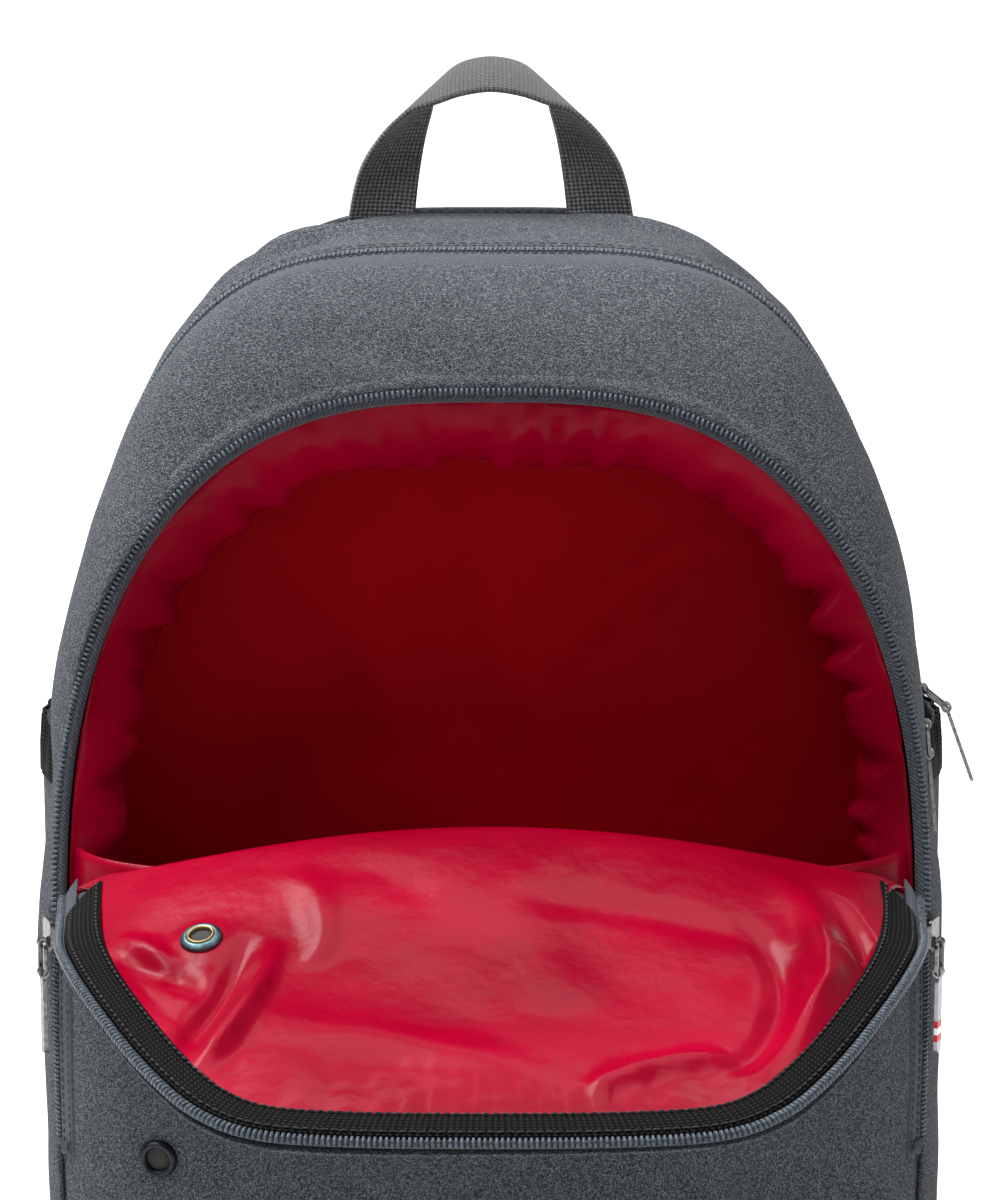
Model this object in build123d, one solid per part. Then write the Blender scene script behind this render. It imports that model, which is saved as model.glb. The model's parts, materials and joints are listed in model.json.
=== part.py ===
from build123d import *
import math
import os

# Racket backpack, millimetres. The origin is the centre of the base's resting face.
# +Z is up, the front faces -Y and the wearer's back is on the +Y side.

# Outer shape of the bag
HALF_WIDTH = 165.0
BASE_NARROWING = 5.0
WIDEST_Z = 220.0
FRONT_DEPTH = 112.0
BASE_SHALLOWING = 6.0
DEEPEST_Z = 200.0
BACK_DEPTH = 95.0
BACK_ROUND = 98.0
TOP_Z = 486.0
FRONT_POWER = 5.0
BACK_POWER = 6.0
SECTION_POINTS = 32
SECTION_HEIGHTS = (0, 90, 160, 255, 345, 385, 420, 447, 466, 479, 486)

# Cutting blocks reach past the whole bag
CUT_X = 200.0
CUT_Y = 200.0
CUT_BELOW = -10.0
CUT_TOP = 600.0

# Fabric layers, each measured outwards from the outer face of the cover
COVER = -2.4
LINING = -3.2
TAPE = 0.8
COIL = 2.4

# Main zip: its two halves part at y = 0
ZIP_HALF_GAP = 0.3
REAR_TAPE_WIDTH = 11.0
FRONT_TAPE_WIDTH = 16.0
COIL_HALF_WIDTH = 2.6

# Back panel, racket sleeve and base
BACK_FABRIC = 2.5
BACK_FOAM = 4.5
SLEEVE_Y = 60.0
SLEEVE_TOP = 330.0
SLEEVE_THICKNESS = 2.0
SLEEVE_BINDING_HEIGHT = 8.0
SLEEVE_BINDING_LAP = 0.6
BASE_FABRIC = 2.5
BASE_BOARD = 2.0
BOARD_INSET = -4.0

# Front shell, which swings forward about its lower front edge
SHELL_BOTTOM = 120.0
LOWER_WALL_TOP = 117.0
DIVIDER_Y = -6.0
DIVIDER_THICKNESS = 1.5
FLOOR_THICKNESS = 2.0

# Shoe opening: an arch with a crowned lower edge
OPENING_HALF_WIDTH = 157.0
OPENING_BOTTOM = 258.0
OPENING_CROWN = 281.0
OPENING_TOP = 446.0
OPENING_SIDE_POWER = 3.0
OPENING_TOP_POWER = 2.2
OPENING_CUT_Y = -40.0
OPENING_CUT_DEPTH = 100.0
OPENING_TAPE = 9.0
OPENING_COIL = 2.6
SILL_CLEARANCE = 2.0
TAPE_WRAP_Y = -66.0
TAPE_WRAP_TOP = 400.0

# Shoe flap, open: it slopes forward and down from its hinge line
FLAP_Y = -113.0
FLAP_Z = 285.0
FLAP_SLOPE = 17.4
FLAP_HALF_WIDTH = 156.0
FLAP_LENGTH = 164.0
FLAP_OUTLINE = ((156, 0), (152, 36), (143, 70), (128, 103), (112, 130), (97, 148), (78, 159), (48, 163))
FLAP_ROOT = 6.0
FLAP_TAPE = 8.0
FLAP_BINDING = 13.0
FLAP_COIL = 3.0
FLAP_TAPE_INSET = 0.5
FLAP_UNDERSIDE = -2.4
FLAP_COVER_TOP = -0.4
FLAP_LINING_TOP = 0.8
FLAP_BINDING_TOP = 2.0
FLAP_COIL_TOP = 2.6

# Closed lower part of the shoe zip, one on each front corner
CORNER_LOW_Z = 160.0
LOWER_ZIP_Y = -78.0
LOWER_ZIP_BOTTOM = 164.0
LOWER_ZIP_TOP = 252.0
LOWER_TAPE_FRONT = -90.0
LOWER_TAPE_REAR = -66.0
LOWER_COIL_SINK = 0.5

# Zip sliders and pulls
SLIDER_WIDTH = 9.0
SLIDER_LENGTH = 12.0
SLIDER_PLATE = 1.2
SLIDER_CLEARANCE = 0.4
SLIDER_CORNER = 2.0
FLANGE_WIDTH = 1.0
FLANGE_SHORTER = 5.0
WELD = 0.2
PIVOT_UP = 3.0
KNUCKLE_BORE = 1.25
KNUCKLE_RADIUS = 2.0
KNUCKLE_SINK = 0.3
BAIL_WIDTH = 2.6
RING_WIDTH = 8.4
RING_LENGTH = 13.0
RING_WIRE = 1.6
RING_CORNER = 2.6
RING_INNER_CORNER = 1.0
RING_ROUND = 0.45
PULL_LENGTH = 31.0
PULL_THICKNESS = 1.4
PULL_KNUCKLE_WIDTH = 3.0
PULL_NECK = 4.0
PULL_END_FLAT = 0.4
ROD_WIDTH = 3.4
TAB_WIDTH = 4.6
SHOE_SLIDER_Z = 246.0
MAIN_UPPER_Z = 320.0
MAIN_LOWER_Z = 306.0
STRAIGHT_BOTTOM = 255.0
STRAIGHT_TOP = 345.0
UPPER_RING_LIFT = 45.0
UPPER_PULL_LEAN = 14.0

# Vent eyelets
EYELET_RADIUS = 7.0
EYELET_BORE = 4.4
EYELET_HEIGHT = 1.6
EYELET_BARREL = 0.5
VENT_GAP = 0.1
EYELET_SINK = 0.8
MESH_THICKNESS = 0.6
MESH_RAISED = 1.0
VENT_CUT = 20.0
FRONT_EYELET_X = -121.0
FRONT_EYELET_Z = 172.0
FLAP_EYELET_X = -101.0
FLAP_EYELET_U = 45.0

# Side pockets
POCKET_FRONT_Y = 14.0
POCKET_REAR_Y = 86.0
POCKET_BOTTOM = 12.0
POCKET_TOP = 298.0
POCKET_OUTER_X = 172.0
POCKET_EDGE_X = 166.0
POCKET_WALL = 1.6
POCKET_INNER_X = 140.0
POCKET_SHOULDER = 9.0
POCKET_SHOULDER_X = 1.5

# Haul handle
HANDLE_Y = 88.0
HANDLE_FOOT_Z = 491.5
HANDLE_TOP = 551.0
HANDLE_HALF_WIDTH = 56.0
HANDLE_THICKNESS = 6.0
HANDLE_GAP_TOP = 537.0
HANDLE_GAP_FOOT = 30.0
HANDLE_GAP_CORNER = 22.0
HANDLE_CORNER_CUT = 6.0
HANDLE_TOP_POWER = 1.27

# Harness on the back
STRAP_INNER_X = 40.0
STRAP_WIDTH = 60.0
STRAP_THICKNESS = 12.0
STRAP_CURVE = ((100, 452), (112, 412), (125, 345), (129, 285), (121, 205), (108, 132))
YOKE_BOTTOM = 428.0
YOKE_TOP = 458.0
YOKE_HALF_WIDTH = 94.0
YOKE_THICKNESS = 2.4
YOKE_CORNER = 10.0
PAD_THICKNESS = 7.0
PAD_INNER_X = 22.0
PAD_WIDTH = 92.0
PAD_BOTTOM = 60.0
PAD_TOP = 395.0
PAD_CORNER = 24.0
WEBBING_WIDTH = 25.0
WEBBING_THICKNESS = 1.6
LOCK_WIDTH = 32.0
LOCK_LENGTH = 15.0
LOCK_THICKNESS = 4.0
LOCK_CORNER = 2.0
LOCK_SLOT = 3.2
LOCK_RAIL = 3.0
WEBBING_TOP_Z = 106.0
WEBBING_RAISED = 2.6
WEBBING_SET_BACK = 3.0
ANCHOR_Z = 22.0
ANCHOR_BELOW = 8.0
ANCHOR_ABOVE = 24.0
ANCHOR_HALF_WIDTH = 20.0
ANCHOR_THICKNESS = 2.4
ANCHOR_SEWN = 6.0

envelopes = {}


def save(node, shape):
    """Writes one node."""
    export_step(shape, f"parts/{node}.step")


def block(x_low, x_high, y_low, y_high, z_low, z_high):
    """A box given by its corners."""
    size = (x_high - x_low, y_high - y_low, z_high - z_low)
    centre = ((x_low + x_high) / 2, (y_low + y_high) / 2, (z_low + z_high) / 2)
    return Pos(*centre) * Box(*size)


def zone(y_low, y_high, z_low, z_high):
    """A slab across the whole bag between two depths and two heights."""
    return block(-CUT_X, CUT_X, y_low, y_high, z_low, z_high)


def half_width(z):
    """Half the bag's width at a height."""
    if z < WIDEST_Z:
        return HALF_WIDTH - BASE_NARROWING * (1 - z / WIDEST_Z) ** 2
    rise = (z - WIDEST_Z) / (TOP_Z + 1 - WIDEST_Z)
    return HALF_WIDTH * (1 - rise**2) ** 0.25


def front_depth(z):
    """How far the front stands forward of the main zip at a height."""
    if z < DEEPEST_Z:
        return FRONT_DEPTH - BASE_SHALLOWING * (1 - z / DEEPEST_Z) ** 2
    rise = (z - DEEPEST_Z) / (TOP_Z + 1 - DEEPEST_Z)
    return FRONT_DEPTH * math.sqrt(1 - rise**2)


def section_points(width, front, back):
    """A closed outline: a blunt superellipse in front and a squarer one behind."""
    points = []
    for k in range(SECTION_POINTS):
        angle = 2 * math.pi * k / SECTION_POINTS + math.pi / 2
        c, s = math.cos(angle), math.sin(angle)
        power = BACK_POWER if s > 0 else FRONT_POWER
        depth = back if s > 0 else front
        reach = (abs(c) ** power + abs(s) ** power) ** (-1 / power)
        points.append((c * reach * width, s * reach * depth))
    return points


def envelope(grow):
    """The bag's solid outer shape with its flat back, grown or shrunk evenly."""
    if grow not in envelopes:
        sections = []
        for z in SECTION_HEIGHTS:
            points = section_points(half_width(z) + grow, front_depth(z) + grow, BACK_ROUND + grow)
            lifted = z * (TOP_Z + grow) / TOP_Z
            outline = Spline(*[(x, y, lifted) for x, y in points], periodic=True)
            sections.append(Face(Wire([outline])))
        body = loft(sections, ruled=True)
        envelopes[grow] = body & zone(-CUT_Y, BACK_DEPTH + grow, CUT_BELOW, CUT_TOP)
    return envelopes[grow]


def layer(outer, inner):
    """The skin between two sizes of the outer shape."""
    return envelope(outer) - envelope(inner)


def blunt_arch(half, rise, side_power, top_power, steps):
    """Width and height pairs of a superelliptic arch, right foot to left foot."""
    right = []
    for k in range(steps + 1):
        angle = math.pi / 2 * k / steps
        across = half * math.cos(angle) ** (2 / side_power)
        up = rise * math.sin(angle) ** (2 / top_power)
        right.append((across, up))
    return right + [(-across, up) for across, up in reversed(right[:-1])]


def sill_arc(half):
    """The crowned lower edge of the shoe opening."""
    return ThreePointArc((-half, 0, OPENING_BOTTOM), (0, 0, OPENING_CROWN), (half, 0, OPENING_BOTTOM))


def opening_prism(grow=0.0):
    """The shoe opening cut from front to back, optionally larger all round."""
    half = OPENING_HALF_WIDTH + grow
    rise = OPENING_TOP + grow - OPENING_BOTTOM
    outline = blunt_arch(half, rise, OPENING_SIDE_POWER, OPENING_TOP_POWER, 10)
    arch = Spline(*[(x, 0, OPENING_BOTTOM + up) for x, up in outline])
    return cut_forward(Face(Wire([arch, sill_arc(half)])))


def crown_prism():
    """The raised middle of the lower cover under the shoe opening."""
    base = Line((OPENING_HALF_WIDTH, 0, OPENING_BOTTOM), (-OPENING_HALF_WIDTH, 0, OPENING_BOTTOM))
    return cut_forward(Face(Wire([sill_arc(OPENING_HALF_WIDTH), base])))


def cut_forward(face):
    """An outline seen from the front, carried forward through the front cover."""
    return Pos(0, OPENING_CUT_Y, 0) * extrude(face, amount=OPENING_CUT_DEPTH, dir=(0, -1, 0))


def make_base():
    """Base fabric and the stiffening board on it."""
    board_top = BASE_FABRIC + BASE_BOARD
    save("base_panel", envelope(0) & zone(-CUT_Y, CUT_Y, 0, BASE_FABRIC))
    save("base_board", envelope(BOARD_INSET) & zone(-CUT_Y, CUT_Y, BASE_FABRIC, board_top))
    wall = layer(0, COVER) & zone(-CUT_Y, -ZIP_HALF_GAP, BASE_FABRIC, LOWER_WALL_TOP)
    save("lower_front_wall", wall)


def make_rear():
    """Gusset, back panel, foam, lining and racket sleeve."""
    back_inside = BACK_DEPTH - BACK_FABRIC
    foam_inside = back_inside - BACK_FOAM
    gusset = layer(0, COVER) & zone(ZIP_HALF_GAP, back_inside, BASE_FABRIC, CUT_TOP)
    save("rear_gusset", gusset)
    save("back_panel", envelope(0) & zone(back_inside, CUT_Y, BASE_FABRIC, CUT_TOP))
    board_top = BASE_FABRIC + BASE_BOARD
    save("back_foam", envelope(COVER) & zone(foam_inside, back_inside, board_top, CUT_TOP))
    lining = layer(COVER, LINING) & zone(ZIP_HALF_GAP, foam_inside, board_top, CUT_TOP)
    save("main_lining", lining)
    sleeve_back = SLEEVE_Y + SLEEVE_THICKNESS
    sleeve = envelope(LINING) & zone(SLEEVE_Y, sleeve_back, board_top, SLEEVE_TOP)
    save("racket_sleeve", sleeve)
    low_y, high_y = SLEEVE_Y - SLEEVE_BINDING_LAP, sleeve_back + SLEEVE_BINDING_LAP
    binding = zone(low_y, high_y, SLEEVE_TOP, SLEEVE_TOP + SLEEVE_BINDING_HEIGHT)
    save("sleeve_binding", envelope(LINING) & binding)


def make_main_zip():
    """Both halves of the main zip: tape and coil on each side of y = 0."""
    tape = layer(TAPE, 0)
    coil = layer(COIL, TAPE)
    rear_tape = zone(ZIP_HALF_GAP, REAR_TAPE_WIDTH, SHELL_BOTTOM, CUT_TOP)
    front_tape = zone(-FRONT_TAPE_WIDTH, -ZIP_HALF_GAP, SHELL_BOTTOM, CUT_TOP)
    rear_coil = zone(ZIP_HALF_GAP, COIL_HALF_WIDTH, SHELL_BOTTOM, CUT_TOP)
    front_coil = zone(-COIL_HALF_WIDTH, -ZIP_HALF_GAP, SHELL_BOTTOM, CUT_TOP)
    save("main_zip_tape_rear", tape & rear_tape)
    save("main_zip_coil_rear", coil & rear_coil)
    save("main_zip_tape_front", tape & front_tape)
    save("main_zip_coil_front", coil & front_coil)


def make_front_shell():
    """Covers, divider, floor and lining of the shoe compartment."""
    front = layer(0, COVER) & zone(-CUT_Y, -ZIP_HALF_GAP, SHELL_BOTTOM, CUT_TOP)
    above = front & zone(-CUT_Y, CUT_Y, OPENING_BOTTOM, CUT_TOP)
    save("front_yoke", above - crown_prism() - opening_prism())
    below = front & zone(-CUT_Y, CUT_Y, SHELL_BOTTOM, OPENING_BOTTOM)
    save("front_lower_cover", below + (above & crown_prism()))
    divider = zone(DIVIDER_Y, DIVIDER_Y + DIVIDER_THICKNESS, SHELL_BOTTOM, CUT_TOP)
    save("shoe_divider", envelope(COVER) & divider)
    floor_top = SHELL_BOTTOM + FLOOR_THICKNESS
    save("shoe_floor", envelope(COVER) & zone(-CUT_Y, DIVIDER_Y, SHELL_BOTTOM, floor_top))
    cloth = COVER - LINING
    outside = envelope(COVER) & zone(-CUT_Y, DIVIDER_Y, floor_top, CUT_TOP)
    inside = envelope(LINING) & zone(-CUT_Y, DIVIDER_Y - cloth, floor_top + cloth, CUT_TOP)
    save("shoe_lining", outside - inside - opening_prism())


def make_shoe_zip():
    """The shoe zip's half that is sewn round the opening."""
    ring = opening_prism(OPENING_TAPE) - opening_prism()
    ring = ring - zone(TAPE_WRAP_Y, CUT_Y, 0, TAPE_WRAP_TOP)
    above_sill = zone(-CUT_Y, CUT_Y, OPENING_BOTTOM + SILL_CLEARANCE, CUT_TOP)
    sill = crown_prism()
    save("shoe_zip_tape", (layer(TAPE, 0) & ring & above_sill) - sill)
    teeth = opening_prism(OPENING_COIL) - opening_prism()
    save("shoe_zip_coil", (layer(COIL, TAPE) & teeth & above_sill) - sill)


def corner_frame(side, z):
    """Point and outward direction on a front corner, at the lower zip's line."""
    rise = (z - CORNER_LOW_Z) / (STRAIGHT_BOTTOM - CORNER_LOW_Z)
    low, high = half_width(CORNER_LOW_Z), half_width(STRAIGHT_BOTTOM)
    width = low + (high - low) * rise
    low, high = front_depth(CORNER_LOW_Z), front_depth(STRAIGHT_BOTTOM)
    depth = low + (high - low) * rise
    reach = -LOWER_ZIP_Y / depth
    across = (1 - reach**FRONT_POWER) ** (1 / FRONT_POWER)
    normal_x = across ** (FRONT_POWER - 1) / width
    normal_y = reach ** (FRONT_POWER - 1) / depth
    length = math.hypot(normal_x, normal_y)
    point = (side * across * width, LOWER_ZIP_Y)
    return point, (side * normal_x / length, -normal_y / length)


def zip_plane(point, outward, upward):
    """Local frame on a zip: x across it, y up along it, z outwards."""
    across = Vector(*upward).cross(Vector(*outward))
    return Plane(origin=point, x_dir=across, z_dir=outward)


def shoe_plane(side):
    """Frame of a shoe slider, clear of the whole of its straight zip."""
    middle = (LOWER_ZIP_BOTTOM + LOWER_ZIP_TOP) / 2
    (x, y), (nx, ny) = corner_frame(side, middle)
    lift = LOWER_COIL_SINK
    return zip_plane((x + nx * lift, y + ny * lift, SHOE_SLIDER_Z), (nx, ny, 0), (0, 0, 1))


def main_plane(z):
    """Frame of a main slider on the straight stretch of the right side."""
    low, high = half_width(STRAIGHT_BOTTOM), half_width(STRAIGHT_TOP)
    rise = STRAIGHT_TOP - STRAIGHT_BOTTOM
    x = low + (high - low) * (z - STRAIGHT_BOTTOM) / rise
    length = math.hypot(high - low, rise)
    upward = ((high - low) / length, 0, rise / length)
    outward = (rise / length, 0, (low - high) / length)
    return zip_plane((x, 0, z), outward, upward)


def make_lower_zips():
    """Closed zip below each shoe slider: its tape and its coil."""
    for side, name in ((-1, "left"), (1, "right")):
        x_low, x_high = sorted((side * CUT_X / 2, side * CUT_X))
        space = block(
            x_low, x_high, LOWER_TAPE_FRONT, LOWER_TAPE_REAR, LOWER_ZIP_BOTTOM, OPENING_BOTTOM
        )
        save(f"lower_zip_tape_{name}", layer(TAPE, 0) & space)
        frame = shoe_plane(side)
        height = LOWER_ZIP_TOP - LOWER_ZIP_BOTTOM
        middle = (LOWER_ZIP_TOP + LOWER_ZIP_BOTTOM) / 2 - SHOE_SLIDER_Z
        sunk = COIL / 2 - LOWER_COIL_SINK
        strip = Pos(0, middle, sunk) * Box(2 * COIL_HALF_WIDTH, height, COIL)
        save(f"lower_zip_coil_{name}", frame.location * strip - envelope(TAPE))


def knuckle(width):
    """A short tube across the zip, which a ring's wire runs through."""
    tube = Cylinder(KNUCKLE_RADIUS, width) - Cylinder(KNUCKLE_BORE, width)
    return Rot(0, 90, 0) * tube


def pivot_height():
    """Height of the ring's upper wire above the cover."""
    return COIL + SLIDER_CLEARANCE + SLIDER_PLATE + KNUCKLE_RADIUS - KNUCKLE_SINK


def slider_body(flanges):
    """Plate over the coil with side flanges and the bail that holds the ring."""
    bottom = COIL + SLIDER_CLEARANCE
    plate = Box(SLIDER_WIDTH, SLIDER_LENGTH, SLIDER_PLATE)
    plate = fillet(plate.edges().filter_by(Axis.Z), SLIDER_CORNER)
    body = Pos(0, SLIDER_LENGTH / 2 - PIVOT_UP, bottom + SLIDER_PLATE / 2) * plate
    flange_low = TAPE + SLIDER_CLEARANCE
    for side in flanges:
        x = side * (SLIDER_WIDTH - FLANGE_WIDTH) / 2
        depth = bottom - flange_low + WELD
        flange = Box(FLANGE_WIDTH, SLIDER_LENGTH - FLANGE_SHORTER, depth)
        body += Pos(x, SLIDER_LENGTH / 2 - PIVOT_UP, flange_low + depth / 2) * flange
    return body + Pos(0, 0, pivot_height()) * knuckle(BAIL_WIDTH)


def ring_body():
    """Oblong wire ring hanging from the local origin."""
    outer = RectangleRounded(RING_WIDTH, RING_LENGTH, RING_CORNER)
    inner_size = (RING_WIDTH - 2 * RING_WIRE, RING_LENGTH - 2 * RING_WIRE)
    inner = RectangleRounded(*inner_size, RING_INNER_CORNER)
    ring = extrude(outer - inner, amount=RING_WIRE / 2, both=True)
    ring = fillet(ring.edges(), RING_ROUND)
    return Pos(0, -(RING_LENGTH - RING_WIRE) / 2, 0) * ring


def pull_body(width):
    """Flat pull with a knuckle at its top, hanging from the local origin."""
    length = PULL_LENGTH - KNUCKLE_RADIUS
    plate = Box(width, length, PULL_THICKNESS)
    plate = fillet(plate.edges().filter_by(Axis.Z), width / 2 - PULL_END_FLAT)
    neck_top = -KNUCKLE_BORE - KNUCKLE_SINK
    neck = block(
        -PULL_KNUCKLE_WIDTH / 2,
        PULL_KNUCKLE_WIDTH / 2,
        neck_top - PULL_NECK,
        neck_top,
        -PULL_THICKNESS / 2,
        PULL_THICKNESS / 2,
    )
    body = knuckle(PULL_KNUCKLE_WIDTH) + neck
    return body + Pos(0, -KNUCKLE_RADIUS + WELD - length / 2, 0) * plate


def make_pull_set(name, frame, flanges, width, ring_lift=0.0, pull_lean=0.0):
    """Slider, ring and pull of one zip end; the lifts are in degrees from the bag."""
    save(f"{name}_slider", frame.location * slider_body(flanges))
    pivot = frame.location * Pos(0, 0, pivot_height())
    save(f"{name}_ring", pivot * Rot(-ring_lift, 0, 0) * ring_body())
    reach = RING_LENGTH - RING_WIRE
    lower = pivot * Rot(-ring_lift, 0, 0) * Pos(0, -reach, 0)
    save(f"{name}_pull", lower * Rot(ring_lift - pull_lean, 0, 0) * pull_body(width))


def make_sliders():
    """Two shoe sliders and the two main sliders on the right side."""
    make_pull_set("shoe_left", shoe_plane(-1), (-1, 1), ROD_WIDTH)
    make_pull_set("shoe_right", shoe_plane(1), (-1, 1), TAB_WIDTH)
    upper = main_plane(MAIN_UPPER_Z)
    make_pull_set("main_upper", upper, (1,), ROD_WIDTH, UPPER_RING_LIFT, UPPER_PULL_LEAN)
    make_pull_set("main_lower", main_plane(MAIN_LOWER_Z), (1,), ROD_WIDTH)


def flap_plane():
    """Frame of the open flap: x to the left, y along its length, z out of its lining."""
    slope = math.radians(FLAP_SLOPE)
    normal = (0, -math.sin(slope), math.cos(slope))
    return Plane(origin=(0, FLAP_Y, FLAP_Z), x_dir=(-1, 0, 0), z_dir=normal)


def flap_face(inset):
    """The flap's outline, inset evenly from its free edge."""
    narrower = 1 - inset / FLAP_HALF_WIDTH
    shorter = 1 - inset / FLAP_LENGTH
    right = [(x * narrower, y * shorter) for x, y in FLAP_OUTLINE]
    tip = (0, FLAP_LENGTH * shorter)
    left = [(-x, y) for x, y in reversed(right)]
    edge = Spline(*right, tip, *left)
    root = Line(left[-1], right[0])
    return Face(Wire([edge, root]))


def flap_slab(inset, low, high):
    """A layer of the flap between two levels, without its root strip."""
    slab = Pos(0, 0, low) * extrude(flap_face(inset), amount=high - low)
    return slab - block(-CUT_X, CUT_X, -FLAP_ROOT, FLAP_ROOT, -VENT_CUT, VENT_CUT)


def make_flap():
    """Cover, lining, binding, zip half and vent of the shoe flap."""
    place = flap_plane().location
    vent = Pos(-FLAP_EYELET_X, FLAP_EYELET_U, 0)
    vent_hole = vent * Cylinder(EYELET_BORE + EYELET_BARREL + VENT_GAP, VENT_CUT)
    cover = flap_slab(FLAP_TAPE, FLAP_UNDERSIDE, FLAP_COVER_TOP)
    lining = flap_slab(FLAP_TAPE, FLAP_COVER_TOP, FLAP_LINING_TOP)
    save("flap_cover", place * (cover - vent_hole))
    save("flap_lining", place * (lining - vent_hole))
    save("flap_binding", place * flap_border(FLAP_TAPE, FLAP_BINDING, FLAP_LINING_TOP, FLAP_BINDING_TOP))
    tape_width = FLAP_TAPE - FLAP_TAPE_INSET
    save("flap_zip_tape", place * flap_border(FLAP_TAPE_INSET, tape_width, FLAP_COVER_TOP, FLAP_LINING_TOP))
    save("flap_zip_coil", place * flap_border(0, FLAP_COIL, FLAP_LINING_TOP, FLAP_COIL_TOP))
    save("flap_eyelet", place * vent * flap_vent_body())
    save("flap_mesh", place * vent * Cylinder(EYELET_BORE, MESH_THICKNESS))


def flap_border(inset, width, low, high):
    """A strip of even width along the flap's free edge."""
    return flap_slab(inset, low, high) - flap_slab(inset + width, low, high)


def flap_vent_body():
    """Flange on the lining and a barrel through both layers of the flap."""
    flange = Pos(0, 0, FLAP_LINING_TOP + EYELET_HEIGHT / 2) * Cylinder(EYELET_RADIUS, EYELET_HEIGHT)
    height = FLAP_LINING_TOP - FLAP_UNDERSIDE
    barrel = Pos(0, 0, FLAP_UNDERSIDE + height / 2) * Cylinder(EYELET_BORE + EYELET_BARREL, height)
    return flange + barrel - Cylinder(EYELET_BORE, VENT_CUT)


def make_front_eyelet():
    """Vent in the lower cover, at the left."""
    width, depth = half_width(FRONT_EYELET_Z), front_depth(FRONT_EYELET_Z)
    across = abs(FRONT_EYELET_X) / width
    reach = (1 - across**FRONT_POWER) ** (1 / FRONT_POWER)
    normal = (-(across ** (FRONT_POWER - 1)) / width, -(reach ** (FRONT_POWER - 1)) / depth, 0)
    point = (FRONT_EYELET_X, -reach * depth, FRONT_EYELET_Z)
    place = Plane(origin=point, x_dir=(0, 0, 1), z_dir=normal).location
    flange = Pos(0, 0, EYELET_HEIGHT / 2) * Cylinder(EYELET_RADIUS, EYELET_HEIGHT + EYELET_SINK)
    ring = flange - Cylinder(EYELET_BORE, VENT_CUT)
    save("front_eyelet", place * ring - envelope(0))
    mesh = Pos(0, 0, MESH_RAISED) * Cylinder(EYELET_BORE, MESH_THICKNESS)
    save("front_mesh", place * mesh - envelope(0))


def make_pockets():
    """An open-topped bottle pocket on each side of the gusset."""
    for side, name in ((-1, "left"), (1, "right")):
        middle_y = (POCKET_FRONT_Y + POCKET_REAR_Y) / 2
        outer = pocket_solid(POCKET_FRONT_Y, POCKET_REAR_Y, POCKET_OUTER_X, middle_y, POCKET_BOTTOM)
        inner = pocket_solid(
            POCKET_FRONT_Y + POCKET_WALL,
            POCKET_REAR_Y - POCKET_WALL,
            POCKET_OUTER_X - POCKET_WALL,
            middle_y,
            POCKET_BOTTOM + POCKET_WALL,
        )
        pocket = outer - inner - envelope(0)
        if side < 0:
            pocket = mirror(pocket, about=Plane.YZ)
        save(f"side_pocket_{name}", pocket)


def pocket_solid(front_y, rear_y, outer_x, middle_y, bottom):
    """The right pocket filled solid, bulging between its two edges."""
    shoulder_x = outer_x - POCKET_SHOULDER_X
    front_edge, rear_edge = (POCKET_EDGE_X, front_y), (POCKET_EDGE_X, rear_y)
    front_inner, rear_inner = (POCKET_INNER_X, front_y), (POCKET_INNER_X, rear_y)
    middle = (outer_x, middle_y)
    outline = Wire([
        Line(front_inner, front_edge),
        ThreePointArc(front_edge, (shoulder_x, front_y + POCKET_SHOULDER), middle),
        ThreePointArc(middle, (shoulder_x, rear_y - POCKET_SHOULDER), rear_edge),
        Line(rear_edge, rear_inner),
        Line(rear_inner, front_inner),
    ])
    return Pos(0, 0, bottom) * extrude(Face(outline), amount=POCKET_TOP - bottom)


def make_handle():
    """Haul loop standing on the top rear seam."""
    rise = HANDLE_TOP - HANDLE_FOOT_Z
    outline = blunt_arch(HANDLE_HALF_WIDTH, rise, 2.0, HANDLE_TOP_POWER, 8)
    arch = Spline(*[(x, 0, HANDLE_FOOT_Z + up) for x, up in outline])
    foot = Line((-HANDLE_HALF_WIDTH, 0, HANDLE_FOOT_Z), (HANDLE_HALF_WIDTH, 0, HANDLE_FOOT_Z))
    outer = Face(Wire([arch, foot]))
    below = HANDLE_FOOT_Z - HANDLE_CORNER_CUT
    corner_z = HANDLE_GAP_TOP - HANDLE_CORNER_CUT
    corner_x = HANDLE_GAP_CORNER - HANDLE_CORNER_CUT
    right = [(corner_x, HANDLE_GAP_TOP), (HANDLE_GAP_CORNER, corner_z), (HANDLE_GAP_FOOT, below)]
    left = [(-x, z) for x, z in reversed(right)]
    gap = Face(Wire.make_polygon([(x, 0, z) for x, z in left + right]))
    solid = extrude(outer, amount=HANDLE_THICKNESS, dir=(0, 1, 0))
    hole = extrude(gap, amount=2 * HANDLE_THICKNESS, both=True)
    save("haul_handle", Pos(0, HANDLE_Y - HANDLE_THICKNESS / 2, 0) * (solid - hole))


def strap_solid():
    """One padded shoulder strap, bowed away from the back."""
    outer = [(y + STRAP_THICKNESS, z) for y, z in STRAP_CURVE]
    inner_edge = Spline(*[(0, y, z) for y, z in STRAP_CURVE])
    outer_edge = Spline(*[(0, y, z) for y, z in outer])
    top = Line((0, *STRAP_CURVE[0]), (0, *outer[0]))
    bottom = Line((0, *STRAP_CURVE[-1]), (0, *outer[-1]))
    face = Face(Wire([inner_edge, top, outer_edge, bottom]))
    return extrude(face, amount=STRAP_WIDTH, dir=(1, 0, 0))


def ladder_lock():
    """Flat three-bar buckle: a frame with two slots."""
    frame = Box(LOCK_WIDTH, LOCK_THICKNESS, LOCK_LENGTH)
    frame = fillet(frame.edges().filter_by(Axis.Y), LOCK_CORNER)
    slot = Box(LOCK_WIDTH - 2 * LOCK_RAIL, 2 * LOCK_THICKNESS, LOCK_SLOT)
    return frame - Pos(0, 0, LOCK_SLOT) * slot - Pos(0, 0, -LOCK_SLOT) * slot


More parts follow.
